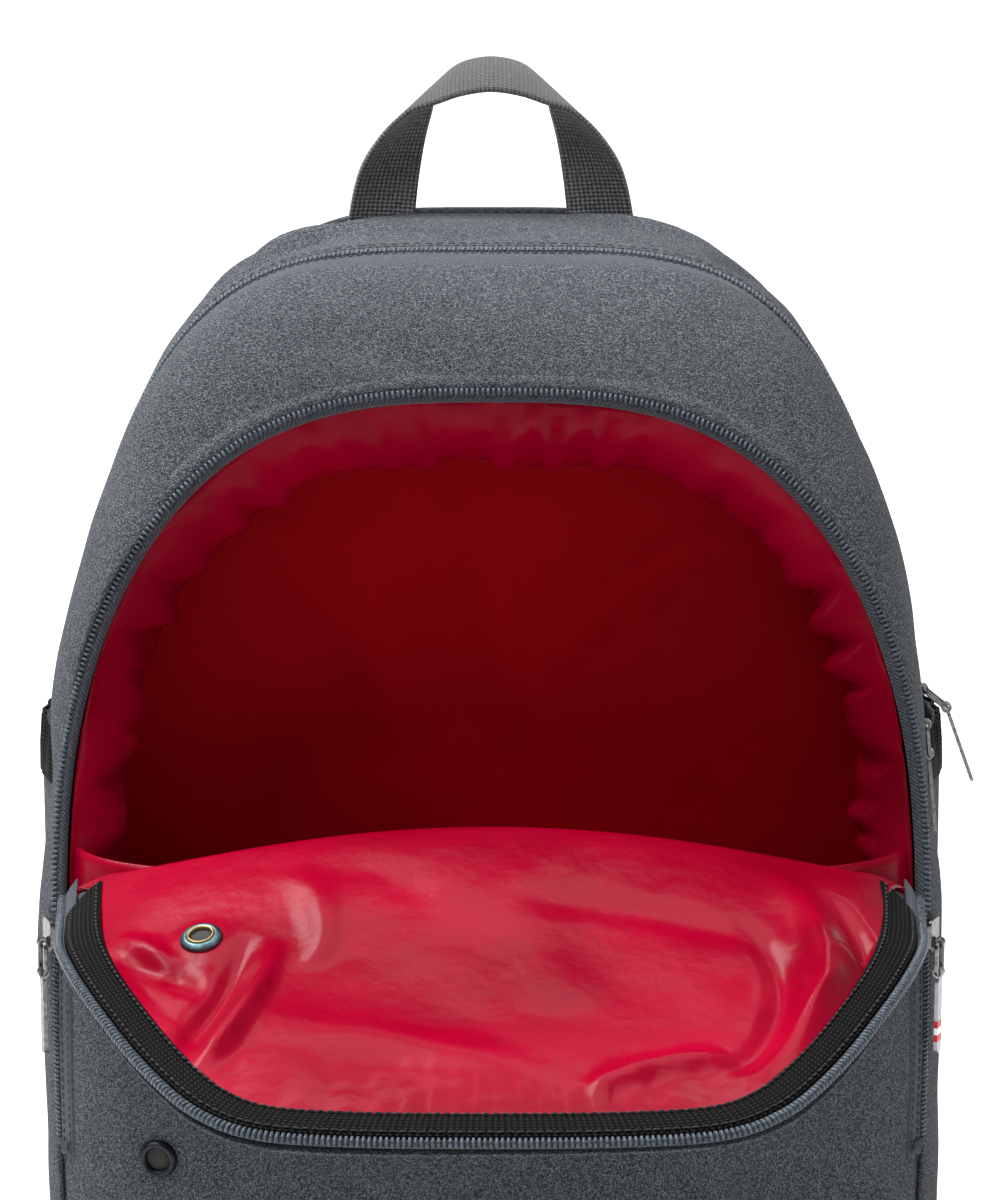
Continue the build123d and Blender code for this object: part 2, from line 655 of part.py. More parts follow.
def lower_webbing():
    """Straight webbing from the base corner up to just under the ladder lock."""
    top_y = STRAP_CURVE[-1][0] + WEBBING_SET_BACK
    low_y = BACK_DEPTH + WEBBING_RAISED
    low_z = ANCHOR_Z + ANCHOR_SEWN
    profile = Face(Wire.make_polygon([
        (0, low_y, low_z),
        (0, low_y + WEBBING_THICKNESS, low_z),
        (0, top_y + WEBBING_THICKNESS, WEBBING_TOP_Z),
        (0, top_y, WEBBING_TOP_Z),
    ]))
    return extrude(profile, amount=WEBBING_WIDTH, dir=(1, 0, 0))


def make_harness():
    """Back pads, strap yoke, straps, ladder locks, lower webbing and anchors."""
    rear = BACK_DEPTH
    yoke = block(
        -YOKE_HALF_WIDTH, YOKE_HALF_WIDTH, rear, rear + YOKE_THICKNESS, YOKE_BOTTOM, YOKE_TOP
    )
    save("strap_yoke", fillet(yoke.edges().filter_by(Axis.Y), YOKE_CORNER))
    strap = Pos(STRAP_INNER_X, 0, 0) * strap_solid()
    strap_middle = STRAP_INNER_X + STRAP_WIDTH / 2
    lock_y = STRAP_CURVE[-1][0] + STRAP_THICKNESS / 2
    lock_z = STRAP_CURVE[-1][1] - LOCK_LENGTH / 2
    lock = Pos(strap_middle, lock_y, lock_z) * ladder_lock()
    webbing = Pos(strap_middle - WEBBING_WIDTH / 2, 0, 0) * lower_webbing()
    anchor_low, anchor_high = strap_middle - ANCHOR_HALF_WIDTH, strap_middle + ANCHOR_HALF_WIDTH
    anchor = block(
        anchor_low,
        anchor_high,
        rear,
        rear + ANCHOR_THICKNESS,
        ANCHOR_Z - ANCHOR_BELOW,
        ANCHOR_Z + ANCHOR_ABOVE,
    )
    pad = block(
        PAD_INNER_X, PAD_INNER_X + PAD_WIDTH, rear, rear + PAD_THICKNESS, PAD_BOTTOM, PAD_TOP
    )
    pad = fillet(pad.edges().filter_by(Axis.Y), PAD_CORNER)
    pieces = {
        "strap": strap,
        "ladder_lock": lock,
        "lower_webbing": webbing,
        "strap_anchor": anchor,
        "back_pad": pad,
    }
    for name, piece in pieces.items():
        save(f"{name}_right", piece)
        save(f"{name}_left", mirror(piece, about=Plane.YZ))


os.makedirs("parts", exist_ok=True)
make_base()
make_rear()
make_main_zip()
make_front_shell()
make_shoe_zip()
make_lower_zips()
make_sliders()
make_flap()
make_front_eyelet()
make_pockets()
make_handle()
make_harness()
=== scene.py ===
import json
import math

import bpy
import numpy as np
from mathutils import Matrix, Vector, noise


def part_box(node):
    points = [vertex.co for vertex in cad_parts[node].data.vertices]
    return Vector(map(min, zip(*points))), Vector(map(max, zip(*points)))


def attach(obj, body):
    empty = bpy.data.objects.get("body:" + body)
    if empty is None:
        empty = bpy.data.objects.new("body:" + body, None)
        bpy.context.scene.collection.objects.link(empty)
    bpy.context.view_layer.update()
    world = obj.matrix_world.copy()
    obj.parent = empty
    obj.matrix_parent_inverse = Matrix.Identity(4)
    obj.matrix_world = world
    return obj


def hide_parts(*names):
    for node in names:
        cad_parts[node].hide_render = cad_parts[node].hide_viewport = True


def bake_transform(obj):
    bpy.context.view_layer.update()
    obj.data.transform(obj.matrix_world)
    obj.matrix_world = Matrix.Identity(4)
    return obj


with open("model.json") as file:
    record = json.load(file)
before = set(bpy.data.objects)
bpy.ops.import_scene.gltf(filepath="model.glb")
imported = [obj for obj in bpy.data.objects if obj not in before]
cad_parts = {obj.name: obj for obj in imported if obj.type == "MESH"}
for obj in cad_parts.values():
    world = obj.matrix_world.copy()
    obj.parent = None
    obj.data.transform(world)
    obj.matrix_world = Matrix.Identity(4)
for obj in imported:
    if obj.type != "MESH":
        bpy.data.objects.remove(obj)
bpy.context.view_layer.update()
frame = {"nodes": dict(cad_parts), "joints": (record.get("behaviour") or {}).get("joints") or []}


# ---------------------------------------------------------------- sizes, in metres, from the frame
def corners(node):
    low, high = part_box(node)
    return np.array(low), np.array(high)


CLOTH_GAP = 0.0002
TOP_CROWN = 0.001
W = corners("rear_gusset")[1][0] - CLOTH_GAP
TOP = corners("rear_gusset")[1][2] + TOP_CROWN
FRONT = -corners("front_lower_cover")[0][1] - CLOTH_GAP
BACK = corners("back_panel")[1][1]
BACK_ROUND = BACK + 0.003
WIDE_Z = 0.220
DEEP_Z = 0.200
FOOT_INSET_X = 0.005
FOOT_INSET_Y = 0.006
SIDE_HOLLOW = 0.006
FRONT_POWER = 5.0
BACK_POWER = 6.0
SHELL_Z = corners("front_lower_cover")[0][2]
SILL_Z = corners("front_yoke")[0][2]
APEX_Z = 0.446
OPEN_X = 0.157
LOWER_ZIP_Y = -0.078
LOWER_ZIP_Z = corners("lower_zip_coil_left")[0][2]
STRAIGHT = (0.255, 0.345)
SIDES = ((-1, "left"), (1, "right"))
MIRROR = np.array([-1, 1, 1])
ACROSS, REARWARD, UP = np.eye(3)
NEAR_ZERO = 1e-9
FINE_COUNT = 3000
joint_at = {j["name"]: j for j in frame["joints"]}
HINGE = np.array(joint_at["flap_fold"]["pos_m"])
FLAP_TAN = math.tan(math.radians(17.4))
FLAP_TIP_Y = corners("flap_zip_coil")[0][1]
FLAP_X = 0.158


# ---------------------------------------------------------------- the bag's outer surface
def half_width(z):
    z = np.asarray(z, float)
    low = W - FOOT_INSET_X * (1 - z / WIDE_Z) ** 2
    rise = np.clip((z - WIDE_Z) / (TOP - WIDE_Z), 0, 1)
    t = np.clip((z - STRAIGHT[0]) / (STRAIGHT[1] - STRAIGHT[0]), 0, 1)
    high = W * np.maximum(1 - rise**2, NEAR_ZERO) ** 0.25 - SIDE_HOLLOW * t * (1 - t)
    return np.where(z < WIDE_Z, low, high)


def front_depth(z):
    z = np.asarray(z, float)
    low = FRONT - FOOT_INSET_Y * (1 - z / DEEP_Z) ** 2
    rise = np.clip((z - DEEP_Z) / (TOP - DEEP_Z), 0, 1)
    return np.where(z < DEEP_Z, low, FRONT * np.sqrt(np.maximum(1 - rise**2, NEAR_ZERO)))


def level(p):
    """1 on the surface, less inside; homogeneous in x and y at one height."""
    x, y, z = p[..., 0], p[..., 1], p[..., 2]
    power = np.where(y > 0, BACK_POWER, FRONT_POWER)
    depth = np.where(y > 0, BACK_ROUND, front_depth(z))
    a = np.abs(x / half_width(z)) ** power + np.abs(y / depth) ** power
    return a ** (1 / power)


def skin_normal(p):
    grad = np.zeros_like(p)
    for axis in range(3):
        step = np.zeros(3)
        step[axis] = 2e-4
        grad[..., axis] = level(p + step) - level(p - step)
    return grad / np.maximum(np.linalg.norm(grad, axis=-1, keepdims=True), 1e-12)


def on_skin(p, out=0.0):
    """Points moved level to the surface and then along its normal."""
    q = np.array(p, float)
    q[..., :2] /= np.maximum(level(q), 1e-6)[..., None]
    return q + skin_normal(q) * np.asarray(out)[..., None]


def resample(line, count):
    """Evenly spaced points along a polyline."""
    steps = np.linalg.norm(np.diff(line, axis=0), axis=1)
    at = np.concatenate([[0], np.cumsum(steps)])
    want = np.linspace(0, at[-1], count)
    return np.stack([np.interp(want, at, line[:, k]) for k in range(3)], axis=1)


def both_sides(x, y, z, count):
    """A line's right half, low to high, and its mirror as one line from low left to low right."""
    right = np.stack([x, y, z], axis=1)
    left = right[::-1][1:] * MIRROR
    return resample(np.concatenate([right, left])[::-1], count)


def arch(y, z_low, count):
    """The outline at one depth, from low left over the top to low right."""
    top = TOP if y > 0 else DEEP_Z + (TOP - DEEP_Z) * math.sqrt(1 - (y / FRONT) ** 2)
    t = np.linspace(0, 1, FINE_COUNT)
    z = z_low + (top - z_low) * (1 - (1 - t) ** 4)
    if y > 0:
        flat = (1 - (y / BACK_ROUND) ** BACK_POWER) ** (1 / BACK_POWER)
    else:
        inner = np.clip(1 - (abs(y) / front_depth(z)) ** FRONT_POWER, 0, 1)
        flat = inner ** (1 / FRONT_POWER)
    x = half_width(z) * flat
    x[-1] = 0
    return both_sides(x, np.full_like(x, y), z, count)


def front_y(x, z):
    """Depth coordinate of the front surface at a place seen from the front."""
    inner = np.clip(1 - np.abs(x / half_width(z)) ** FRONT_POWER, 1e-6, 1)
    return -front_depth(z) * inner ** (1 / FRONT_POWER)


def opening_curve(count):
    """The shoe opening's edge on the surface, low left to low right."""
    a = np.linspace(0, math.pi / 2, 800)
    x = OPEN_X * np.cos(a) ** (2 / 3)
    z = SILL_Z + (APEX_Z - SILL_Z) * np.sin(a) ** (2 / 2.2)
    return both_sides(x, front_y(x, z), z, count)


def front_ring(z, count, inset, foot=0.0):
    """Half an outline at one height, left side over the front to the right side."""
    angle = np.linspace(0, math.pi, count)
    c, s = np.cos(angle), np.sin(angle)
    reach = (np.abs(c) ** FRONT_POWER + np.abs(s) ** FRONT_POWER) ** (-1 / FRONT_POWER)
    w, d = float(half_width(z)) - inset - foot, float(front_depth(z)) - inset - foot
    return np.stack([-c * reach * w, -s * reach * d, np.full_like(c, z)], axis=1)


def zip_line(side, z):
    """The closed lower zip's line on a front corner."""
    z = np.asarray(z, float)
    reach = -LOWER_ZIP_Y / front_depth(z)
    x = half_width(z) * (1 - reach**FRONT_POWER) ** (1 / FRONT_POWER)
    return np.stack([side * x, np.full_like(x, LOWER_ZIP_Y), z], axis=-1)


# ---------------------------------------------------------------- mesh helpers
LEAST_SHARE = 0.301


def wavy(points, scale, seed):
    """Smooth noise at each point; scale is in waves per metre for x, y and z."""
    flat = points.reshape(-1, 3) * np.array(scale) + seed
    values = [noise.noise(Vector(p)) for p in flat]
    return np.array(values).reshape(points.shape[:-1])


def crease(points, start, end, depth, width, bow=0.0, axes=(0, 2)):
    """A soft fold along a line; positive stands out. bow curves it."""
    p = points[..., list(axes)]
    a, b = np.array(start), np.array(end)
    along = b - a
    length = np.linalg.norm(along)
    along = along / length
    across = np.array([-along[1], along[0]])
    s = (p - a) @ along / length
    d = (p - a) @ across - bow * (1 - (2 * np.clip(s, 0, 1) - 1) ** 2)
    fade = np.clip(1 - np.abs(2 * s - 1) ** 3, 0, 1)
    return depth * fade * np.exp(-((d / width) ** 2))


def mesh_piece(name, verts, faces, material, uvs=None):
    data = bpy.data.meshes.new(name)
    data.from_pydata([tuple(v) for v in verts], [], [tuple(f) for f in faces])
    data.update()
    if uvs is not None:
        layer = data.uv_layers.new(name="Weave")
        index = np.zeros(len(data.loops), np.int32)
        data.loops.foreach_get("vertex_index", index)
        layer.data.foreach_set("uv", np.asarray(uvs, np.float32)[index].ravel())
    data.polygons.foreach_set("use_smooth", [True] * len(data.polygons))
    piece = bpy.data.objects.new(name, data)
    bpy.context.scene.collection.objects.link(piece)
    data.materials.append(material)
    return piece


def grid_faces(rows, columns, flip=False, closed=False):
    faces = []
    last = columns if closed else columns - 1
    for r in range(rows - 1):
        for c in range(last):
            d = (c + 1) % columns
            quad = (r * columns + c, r * columns + d, (r + 1) * columns + d, (r + 1) * columns + c)
            faces.append(quad[::-1] if flip else quad)
    return faces


def grid_piece(name, points, material, thick=0.0, flip=False, offset=-1.0):
    """A surface from a rows x columns grid, with weave coordinates in metres."""
    rows, columns = points.shape[:2]
    du = np.linalg.norm(np.diff(points, axis=1), axis=2).mean(axis=0)
    dv = np.linalg.norm(np.diff(points, axis=0), axis=2).mean(axis=1)
    u = np.concatenate([[0], np.cumsum(du)])
    v = np.concatenate([[0], np.cumsum(dv)])
    uvs = np.stack(np.meshgrid(u, v), axis=-1).reshape(-1, 2)
    piece = mesh_piece(name, points.reshape(-1, 3), grid_faces(rows, columns, flip), material, uvs)
    if thick:
        shell = piece.modifiers.new("Thickness", "SOLIDIFY")
        shell.thickness = thick
        shell.offset = offset
        shell.use_even_offset = False
    return piece


def cloth_panel(name, points, material, thick, held, *rests_on, flip=False, flat=None):
    """A sheet of cloth; its cut, the given size or the grid's own width, length and area, is worked out but
    not used.
    """
    piece = grid_piece(name, points, material, thick, flip)
    along = np.linalg.norm(np.diff(points, axis=1), axis=2)
    down = np.linalg.norm(np.diff(points, axis=0), axis=2)
    width, length = flat or (float(along.sum(axis=1).max()), float(down.sum(axis=0).max()))
    area = float((along[:-1] * (down[:, :-1] + down[:, 1:]) / 2).sum())
    area = min(max(area, LEAST_SHARE * width * length), width * length)
    return piece


def frames_along(line):
    """Tangents of a polyline, one per point."""
    t = np.gradient(line, axis=0)
    return t / np.maximum(np.linalg.norm(t, axis=1, keepdims=True), 1e-12)


def beside(line, distance, out=0.0):
    """The line moved sideways on the bag's surface: positive is outwards of an arch."""
    normal = skin_normal(line)
    side = np.cross(frames_along(line), normal)
    return on_skin(line - side * distance, out)


def tube_piece(name, line, radius, material, sides=8):
    """A round cord along a polyline."""
    t = frames_along(line)
    a = np.cross(t, UP)
    weak = np.linalg.norm(a, axis=1) < 1e-3
    a[weak] = np.cross(t[weak], REARWARD)
    a /= np.linalg.norm(a, axis=1, keepdims=True)
    b = np.cross(t, a)
    angles = np.linspace(0, 2 * math.pi, sides, endpoint=False)
    ring = [line + radius * (math.cos(q) * a + math.sin(q) * b) for q in angles]
    return closed_tube(name, np.stack(ring, axis=1), material)


def closed_tube(name, points, material):
    """A tube through a grid of rings, with both ends closed."""
    rows, columns = points.shape[:2]
    faces = grid_faces(rows, columns, closed=True)
    faces.append(tuple(range(columns))[::-1])
    faces.append(tuple(range((rows - 1) * columns, rows * columns)))
    return mesh_piece(name, points.reshape(-1, 3), faces, material)


def block_shape():
    """A bead that narrows upwards in two steps, in half sizes and height, and its faces."""
    square = ((-1, -1), (1, -1), (1, 1), (-1, 1))
    verts = [(x * scale, y * scale, z) for scale, z in ((1, 0), (0.8, 0.7), (0.4, 1)) for x, y in square]
    faces = [(k, (k + 1) % 4, (k + 1) % 4 + 4, k + 4) for k in range(4)]
    faces += [tuple(i + 4 for i in face) for face in faces]
    return verts, faces + [(8, 9, 10, 11), (3, 2, 1, 0)]


BLOCK, BLOCK_FACES = block_shape()


def bead_row(name, line, normals, pitch, size, material, lift=0.0):
    """Rounded blocks in a row: size is half length along, half width across, and height."""
    length = np.linalg.norm(np.diff(line, axis=0), axis=1).sum()
    count = max(2, int(length / pitch))
    centres = resample(line, count)
    at = np.linspace(0, 1, len(line))
    want = np.linspace(0, 1, count)
    n = np.stack([np.interp(want, at, normals[:, k]) for k in range(3)], axis=1)
    n /= np.linalg.norm(n, axis=1, keepdims=True)
    t = frames_along(centres)
    side = np.cross(t, n)
    verts, faces = [], []
    for k in range(count):
        base = centres[k] + n[k] * lift
        first = len(verts)
        for x, y, z in BLOCK:
            verts.append(base + t[k] * x * size[0] + side[k] * y * size[1] + n[k] * z * size[2])
        faces += [tuple(first + i for i in f) for f in BLOCK_FACES]
    return mesh_piece(name, verts, faces, material)


def stitches(name, line, normals, material, pitch=0.0032, length=0.0011, lift=0.0):
    return bead_row(name, line, normals, pitch, (length, 0.00035, 0.0005), material, lift)


def finish_piece(piece, body, slot, *nodes):
    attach(piece, body)
    if nodes:
        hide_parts(*nodes)


def stitch_row(name, line, body, slot, **sizes):
    """A row of stitches lying on the bag's surface."""
    finish_piece(stitches(name, line, skin_normal(line), THREAD, **sizes), body, slot)


# ---------------------------------------------------------------- materials
TWILL_PITCH = 0.0016
DOT_PITCH = 0.0021
METAL_WEAR = 0.12


class Shader:
    """A material with short calls for its nodes."""

    def __init__(self, name, roughness=0.8, metallic=0.0, sheen=0.0, specular=0.5):
        self.mat = bpy.data.materials.new(name)
        self.mat.use_nodes = True
        self.tree = self.mat.node_tree
        self.bsdf = self.tree.nodes["Principled BSDF"]
        self.bsdf.inputs["Roughness"].default_value = roughness
        self.bsdf.inputs["Metallic"].default_value = metallic
        self.bsdf.inputs["Sheen Weight"].default_value = sheen
        self.bsdf.inputs["Specular IOR Level"].default_value = specular

    def put(self, socket, value):
        if isinstance(value, bpy.types.NodeSocket):
            self.tree.links.new(value, socket)
        elif value is not None:
            socket.default_value = value

    def node(self, kind, inputs=(), **settings):
        made = self.tree.nodes.new(kind)
        for key, value in settings.items():
            setattr(made, key, value)
        for key, value in dict(inputs).items():
            self.put(made.inputs[key], value)
        return made

    def place(self, scale, uv=False):
        where = self.node("ShaderNodeTexCoord").outputs["Object"]
        if uv:
            where = self.node("ShaderNodeUVMap", uv_map="Weave").outputs["UV"]
        made = self.node("ShaderNodeMapping", {"Vector": where, "Scale": scale})
        return made.outputs["Vector"]

    def noise(self, scale, detail, rough=0.5):
        """Noise with one scale, or one for each axis."""
        scale = scale if isinstance(scale, tuple) else (scale,) * 3
        made = self.node("ShaderNodeTexNoise", {
            "Vector": self.place(scale), "Scale": 1.0, "Detail": detail, "Roughness": rough})
        return made.outputs["Fac"]

    def math(self, kind, a, b=None, c=None):
        made = self.node("ShaderNodeMath", operation=kind)
        for socket, value in zip(made.inputs, (a, b, c)):
            self.put(socket, value)
        return made.outputs[0]

    def ramp(self, value, low, high):
        made = self.node("ShaderNodeMapRange", {
            "Value": value, "From Min": low, "From Max": high})
        return made.outputs["Result"]

    def mix(self, factor, a, b):
        made = self.node("ShaderNodeMix", data_type="RGBA")
        self.put(made.inputs[0], factor)
        for socket, value in ((made.inputs[6], a), (made.inputs[7], b)):
            if isinstance(value, bpy.types.NodeSocket):
                self.put(socket, value)
            else:
                socket.default_value = (*value, 1.0)
        return made.outputs[2]

    def wave(self, pitch, axis):
        """A smooth 0..1 wave along one weave coordinate."""
        scale = [0.0, 0.0, 0.0]
        scale[axis] = 2 * math.pi / pitch
        parts = self.node("ShaderNodeSeparateXYZ", {"Vector": self.place(scale, True)})
        sine = self.math("SINE", parts.outputs[axis])
        return self.math("MULTIPLY_ADD", sine, 0.5, 0.5)

    def bump(self, height, distance, strength, under=None):
        made = self.node("ShaderNodeBump", {"Height": height, "Distance": distance})
        made.inputs["Strength"].default_value = strength
        if under is not None:
            self.put(made.inputs["Normal"], under)
        self.put(self.bsdf.inputs["Normal"], made.outputs["Normal"])
        return made.outputs["Normal"]

    def finish(self, height, distance, strength, under=None):
        """Last bump, and the finished material."""
        self.bump(height, distance, strength, under)
        return self.mat

    def roughness(self, value, factor, base):
        self.put(self.bsdf.inputs["Roughness"], self.math("MULTIPLY_ADD", value, factor, base))

    def colour(self, value):
        if isinstance(value, bpy.types.NodeSocket):
            self.put(self.bsdf.inputs["Base Color"], value)
        else:
            self.bsdf.inputs["Base Color"].default_value = (*value, 1.0)


def heather(name, dark, mid, light):
    """Two-tone woven polyester: a fine diagonal twill of light and dark yarn."""
    s = Shader(name, 0.9, sheen=0.03, specular=0.12)
    down = s.noise((2400, 2400, 850), 2)
    across = s.noise((800, 800, 2400), 2)
    speck = s.noise(2100, 3, rough=0.8)
    yarn = s.math("MAXIMUM", s.ramp(down, 0.46, 0.60), s.ramp(across, 0.48, 0.62))
    pale = s.math("MULTIPLY", s.ramp(speck, 0.44, 0.60), yarn)
    mottle = s.ramp(s.noise(26, 3), 0.25, 0.75)
    base = s.mix(s.math("MULTIPLY", mottle, 0.3), dark, mid)
    streaked = s.mix(s.math("MULTIPLY", yarn, 0.6), base, mid)
    s.colour(s.mix(pale, streaked, light))
    s.roughness(yarn, -0.12, 0.94)
    return s.finish(s.math("ADD", s.math("ADD", down, across), speck), 0.0009, 0.8)


def twill(name, dark, light):
    """Zip tape: diagonal ribs."""
    s = Shader(name, 0.75, sheen=0.15, specular=0.3)
    place = s.node("ShaderNodeSeparateXYZ", {"Vector": s.place((1, 1, 1), True)})
    slope = s.math("ADD", place.outputs[0], place.outputs[1])
    rib = s.math("SINE", s.math("MULTIPLY", slope, 2 * math.pi / TWILL_PITCH))
    rib = s.math("MULTIPLY_ADD", rib, 0.5, 0.5)
    fuzz = s.noise(900, 3)
    s.colour(s.mix(s.math("MULTIPLY", rib, s.ramp(fuzz, 0.25, 0.7)), dark, light))
    s.roughness(rib, -0.15, 0.82)
    return s.finish(rib, 0.0003, 0.7)


def satin(name, deep, bright, roughness=0.3, specular=0.09):
    """Glossy nylon lining with a fine weave and uneven sheen."""
    s = Shader(name, roughness, sheen=0.0, specular=specular)
    cloud = s.noise((11, 17, 13), 4)
    s.colour(s.mix(s.ramp(cloud, 0.3, 0.72), deep, bright))
    fine = s.noise((3200, 3200, 500), 2)
    cross = s.noise((500, 500, 3200), 2)
    grain = s.math("ADD", fine, cross)
    s.roughness(cloud, 0.16, roughness - 0.08)
    soft = s.bump(s.noise(90, 3), 0.0012, 0.45)
    return s.finish(grain, 0.00006, 0.2, under=soft)


def woven_tape(name, dark, light):
    """Binding: a dotted basket weave."""
    s = Shader(name, 0.72, sheen=0.0, specular=0.1)
    a = s.wave(DOT_PITCH, axis=0)
    b = s.wave(DOT_PITCH * 0.8, axis=1)
    dots = s.math("MULTIPLY", a, b)
    s.colour(s.mix(s.ramp(dots, 0.45, 0.85), dark, light))
    s.roughness(dots, -0.2, 0.8)
    return s.finish(dots, 0.0005, 0.8)


def ribbed_webbing(name, dark, light, rib=0.0018, pick=0.0016):
    """Webbing: ribs along its length crossed by fine picks."""
    s = Shader(name, 0.8, sheen=0.2, specular=0.25)
    ribs = s.wave(rib, axis=1)
    picks = s.wave(pick, axis=0)
    height = s.math("MULTIPLY_ADD", picks, 0.6, s.math("MULTIPLY", ribs, 0.8))
    fuzz = s.noise(1400, 3)
    tone = s.math("MULTIPLY", s.math("MULTIPLY", height, 0.7), s.ramp(fuzz, 0.2, 0.7))
    s.colour(s.mix(tone, dark, light))
    return s.finish(height, 0.0005, 0.8)


def plain_weave(name, dark, light, scale=1700):
    s = Shader(name, 0.85, sheen=0.15, specular=0.25)
    a = s.noise((scale, scale, scale / 4), 2)
    b = s.noise((scale / 4, scale / 4, scale), 2)
    both = s.math("ADD", a, b)
    s.colour(s.mix(s.ramp(both, 0.8, 1.2), dark, light))
    s.roughness(a, 0.15, 0.76)
    return s.finish(both, 0.0004, 0.6)


def air_mesh(name, dark, light, cell=0.0042):
    """Spacer mesh: rows of small holes."""
    s = Shader(name, 0.8, sheen=0.2, specular=0.25)
    made = s.node("ShaderNodeTexVoronoi", {"Vector": s.place((1 / cell,) * 3), "Randomness": 0.15})
    hole = s.ramp(made.outputs["Distance"], 0.18, 0.42)
    s.colour(s.mix(hole, dark, light))
    s.roughness(hole, -0.15, 0.9)
    return s.finish(hole, 0.0012, 0.7)


def metal(name, colour, roughness, darker=0.55):
    s = Shader(name, roughness, metallic=1.0)
    scuff = s.noise(500, 4)
    patch = s.noise(60, 3)
    s.colour(s.mix(s.ramp(scuff, 0.35, 0.75), tuple(c * darker for c in colour), colour))
    s.roughness(patch, METAL_WEAR, roughness)
    return s.finish(scuff, 0.00005, 0.3)


def moulded(name, dark, light, roughness=0.45):
    s = Shader(name, roughness, specular=0.4)
    speck = s.noise(900, 3)
    s.colour(s.mix(s.ramp(speck, 0.35, 0.7), dark, light))
    s.roughness(speck, 0.2, roughness - 0.1)
    return s.finish(speck, 0.0001, 0.4)


HEATHER = heather("heather", (0.026, 0.031, 0.040), (0.070, 0.078, 0.092), (0.29, 0.305, 0.33))
TAPE = twill("zip_tape", (0.026, 0.033, 0.045), (0.118, 0.135, 0.16))
TEETH = moulded("zip_teeth", (0.03, 0.038, 0.05), (0.115, 0.145, 0.18), 0.38)
LINING = satin("red_lining", (0.19, 0.0, 0.009), (0.37, 0.0003, 0.022), 0.25)
# Painted shade: a copy of the red lining for the shaded back wall, with its bluish tint taken out and its
# gloss dulled.
LINING_PAINTED_SHADE = satin("red_lining_painted_shade", (0.30, 0.0, 0.004), (0.38, 0.0, 0.006), 0.62, 0.05)
BINDING = woven_tape("binding", (0.0015, 0.0015, 0.0015), (0.024, 0.025, 0.024))
WEBBING = ribbed_webbing("webbing", (0.018, 0.020, 0.023), (0.40, 0.41, 0.42))
WEBBING_FACE = ribbed_webbing("webbing_face", (0.045, 0.045, 0.045), (0.20, 0.20, 0.197), 0.0009, 0.0016)
THREAD = plain_weave("thread", (0.03, 0.033, 0.04), (0.07, 0.075, 0.085), 2600)
PALE_THREAD = plain_weave("pale_thread", (0.10, 0.11, 0.12), (0.2, 0.21, 0.225), 2600)
PIPING = plain_weave("piping", (0.03, 0.034, 0.042), (0.085, 0.09, 0.105))
BLACK_CLOTH = plain_weave("black_cloth", (0.012, 0.012, 0.014), (0.035, 0.036, 0.04))
AIR_MESH = air_mesh("air_mesh", (0.008, 0.008, 0.009), (0.06, 0.063, 0.07))
FINE_MESH = air_mesh("fine_mesh", (0.004, 0.004, 0.005), (0.05, 0.048, 0.045), 0.0011)
NICKEL = metal("nickel", (0.33, 0.325, 0.31), 0.24, darker=0.4)
BRASS = metal("brass", (0.50, 0.36, 0.16), 0.3)
TEAL_METAL = metal("teal_metal", (0.12, 0.19, 0.22), 0.34)
ENAMEL = metal("enamel", (0.05, 0.055, 0.065), 0.4)
BUCKLE = moulded("buckle_plastic", (0.012, 0.012, 0.013), (0.03, 0.03, 0.032))
BOARD = moulded("board_plastic", (0.02, 0.02, 0.02), (0.05, 0.05, 0.05), 0.6)


# ---------------------------------------------------------------- the bag's rear body
REAR_TAPE = 0.0115
FRONT_TAPE = -0.0205
SEAM_LAP = 0.003
FOOT_Z = 0.0025
TAPE_LIFT = 0.0012
CLOTH = 0.0020
COIL_PITCH = 0.0017
BEAD_PITCH = 0.0019
DEEPEST_FOLD = 0.0030
COLUMNS = 260
FINE_COLUMNS = 420


# start, end, height, half width and bow of each fold over the top of the gusset
GUSSET_CREASES = (
    ((-0.130, 0.022), (-0.045, 0.046), -0.0058, 0.0050, 0.004),
    ((-0.110, 0.066), (-0.030, 0.045), 0.0050, 0.0070, -0.004),
    ((-0.120, 0.050), (-0.060, 0.060), -0.0045, 0.0045, 0.003),
    ((-0.020, 0.030), (0.030, 0.050), -0.0022, 0.0060, 0.003),
    ((0.085, 0.030), (0.125, 0.075), -0.0045, 0.0050, 0.003),
    ((0.020, 0.075), (0.090, 0.055), 0.0032, 0.0080, 0.004),
)


def make_gusset():
    rows = 26
    ys = np.linspace(REAR_TAPE - SEAM_LAP, BACK - 0.0025, rows)
    lines = np.stack([arch(y, FOOT_Z, COLUMNS) for y in ys])
    normals = skin_normal(lines)
    swell = np.sin(np.linspace(0, math.pi, rows))[:, None]
    drift = wavy(lines, (14, 20, 14), 3.1) + 0.5 * wavy(lines, (45, 60, 45), 7.7)
    points = lines + normals * (swell * (0.0012 + 0.0016 * drift))[..., None]
    high = np.clip((points[..., 2] - 0.40) / 0.08, 0, 1)
    folds = sum(crease(points, *fold, (0, 1)) for fold in GUSSET_CREASES)
    folds = np.maximum(folds, -DEEPEST_FOLD)
    points = points + normals * (folds * high)[..., None]
    cloth = cloth_panel("rear_gusset_cloth", points, HEATHER, 0.0022, "stretched", "main_lining")
    finish_piece(cloth, "root", "heather", "rear_gusset")
    seam = on_skin(arch(BACK - 0.004, FOOT_Z, FINE_COLUMNS), 0.0006)
    finish_piece(tube_piece("back_piping", seam, 0.0017, PIPING), "root", "heather")
    for k, y in enumerate((BACK - 0.010, REAR_TAPE + 0.004)):
        line = arch(y, 0.02, FINE_COLUMNS)
        row = stitches(f"gusset_stitch_{k}", on_skin(line, 0.0011), skin_normal(line), THREAD, 0.0042, 0.0013)
        finish_piece(row, "root", "heather")


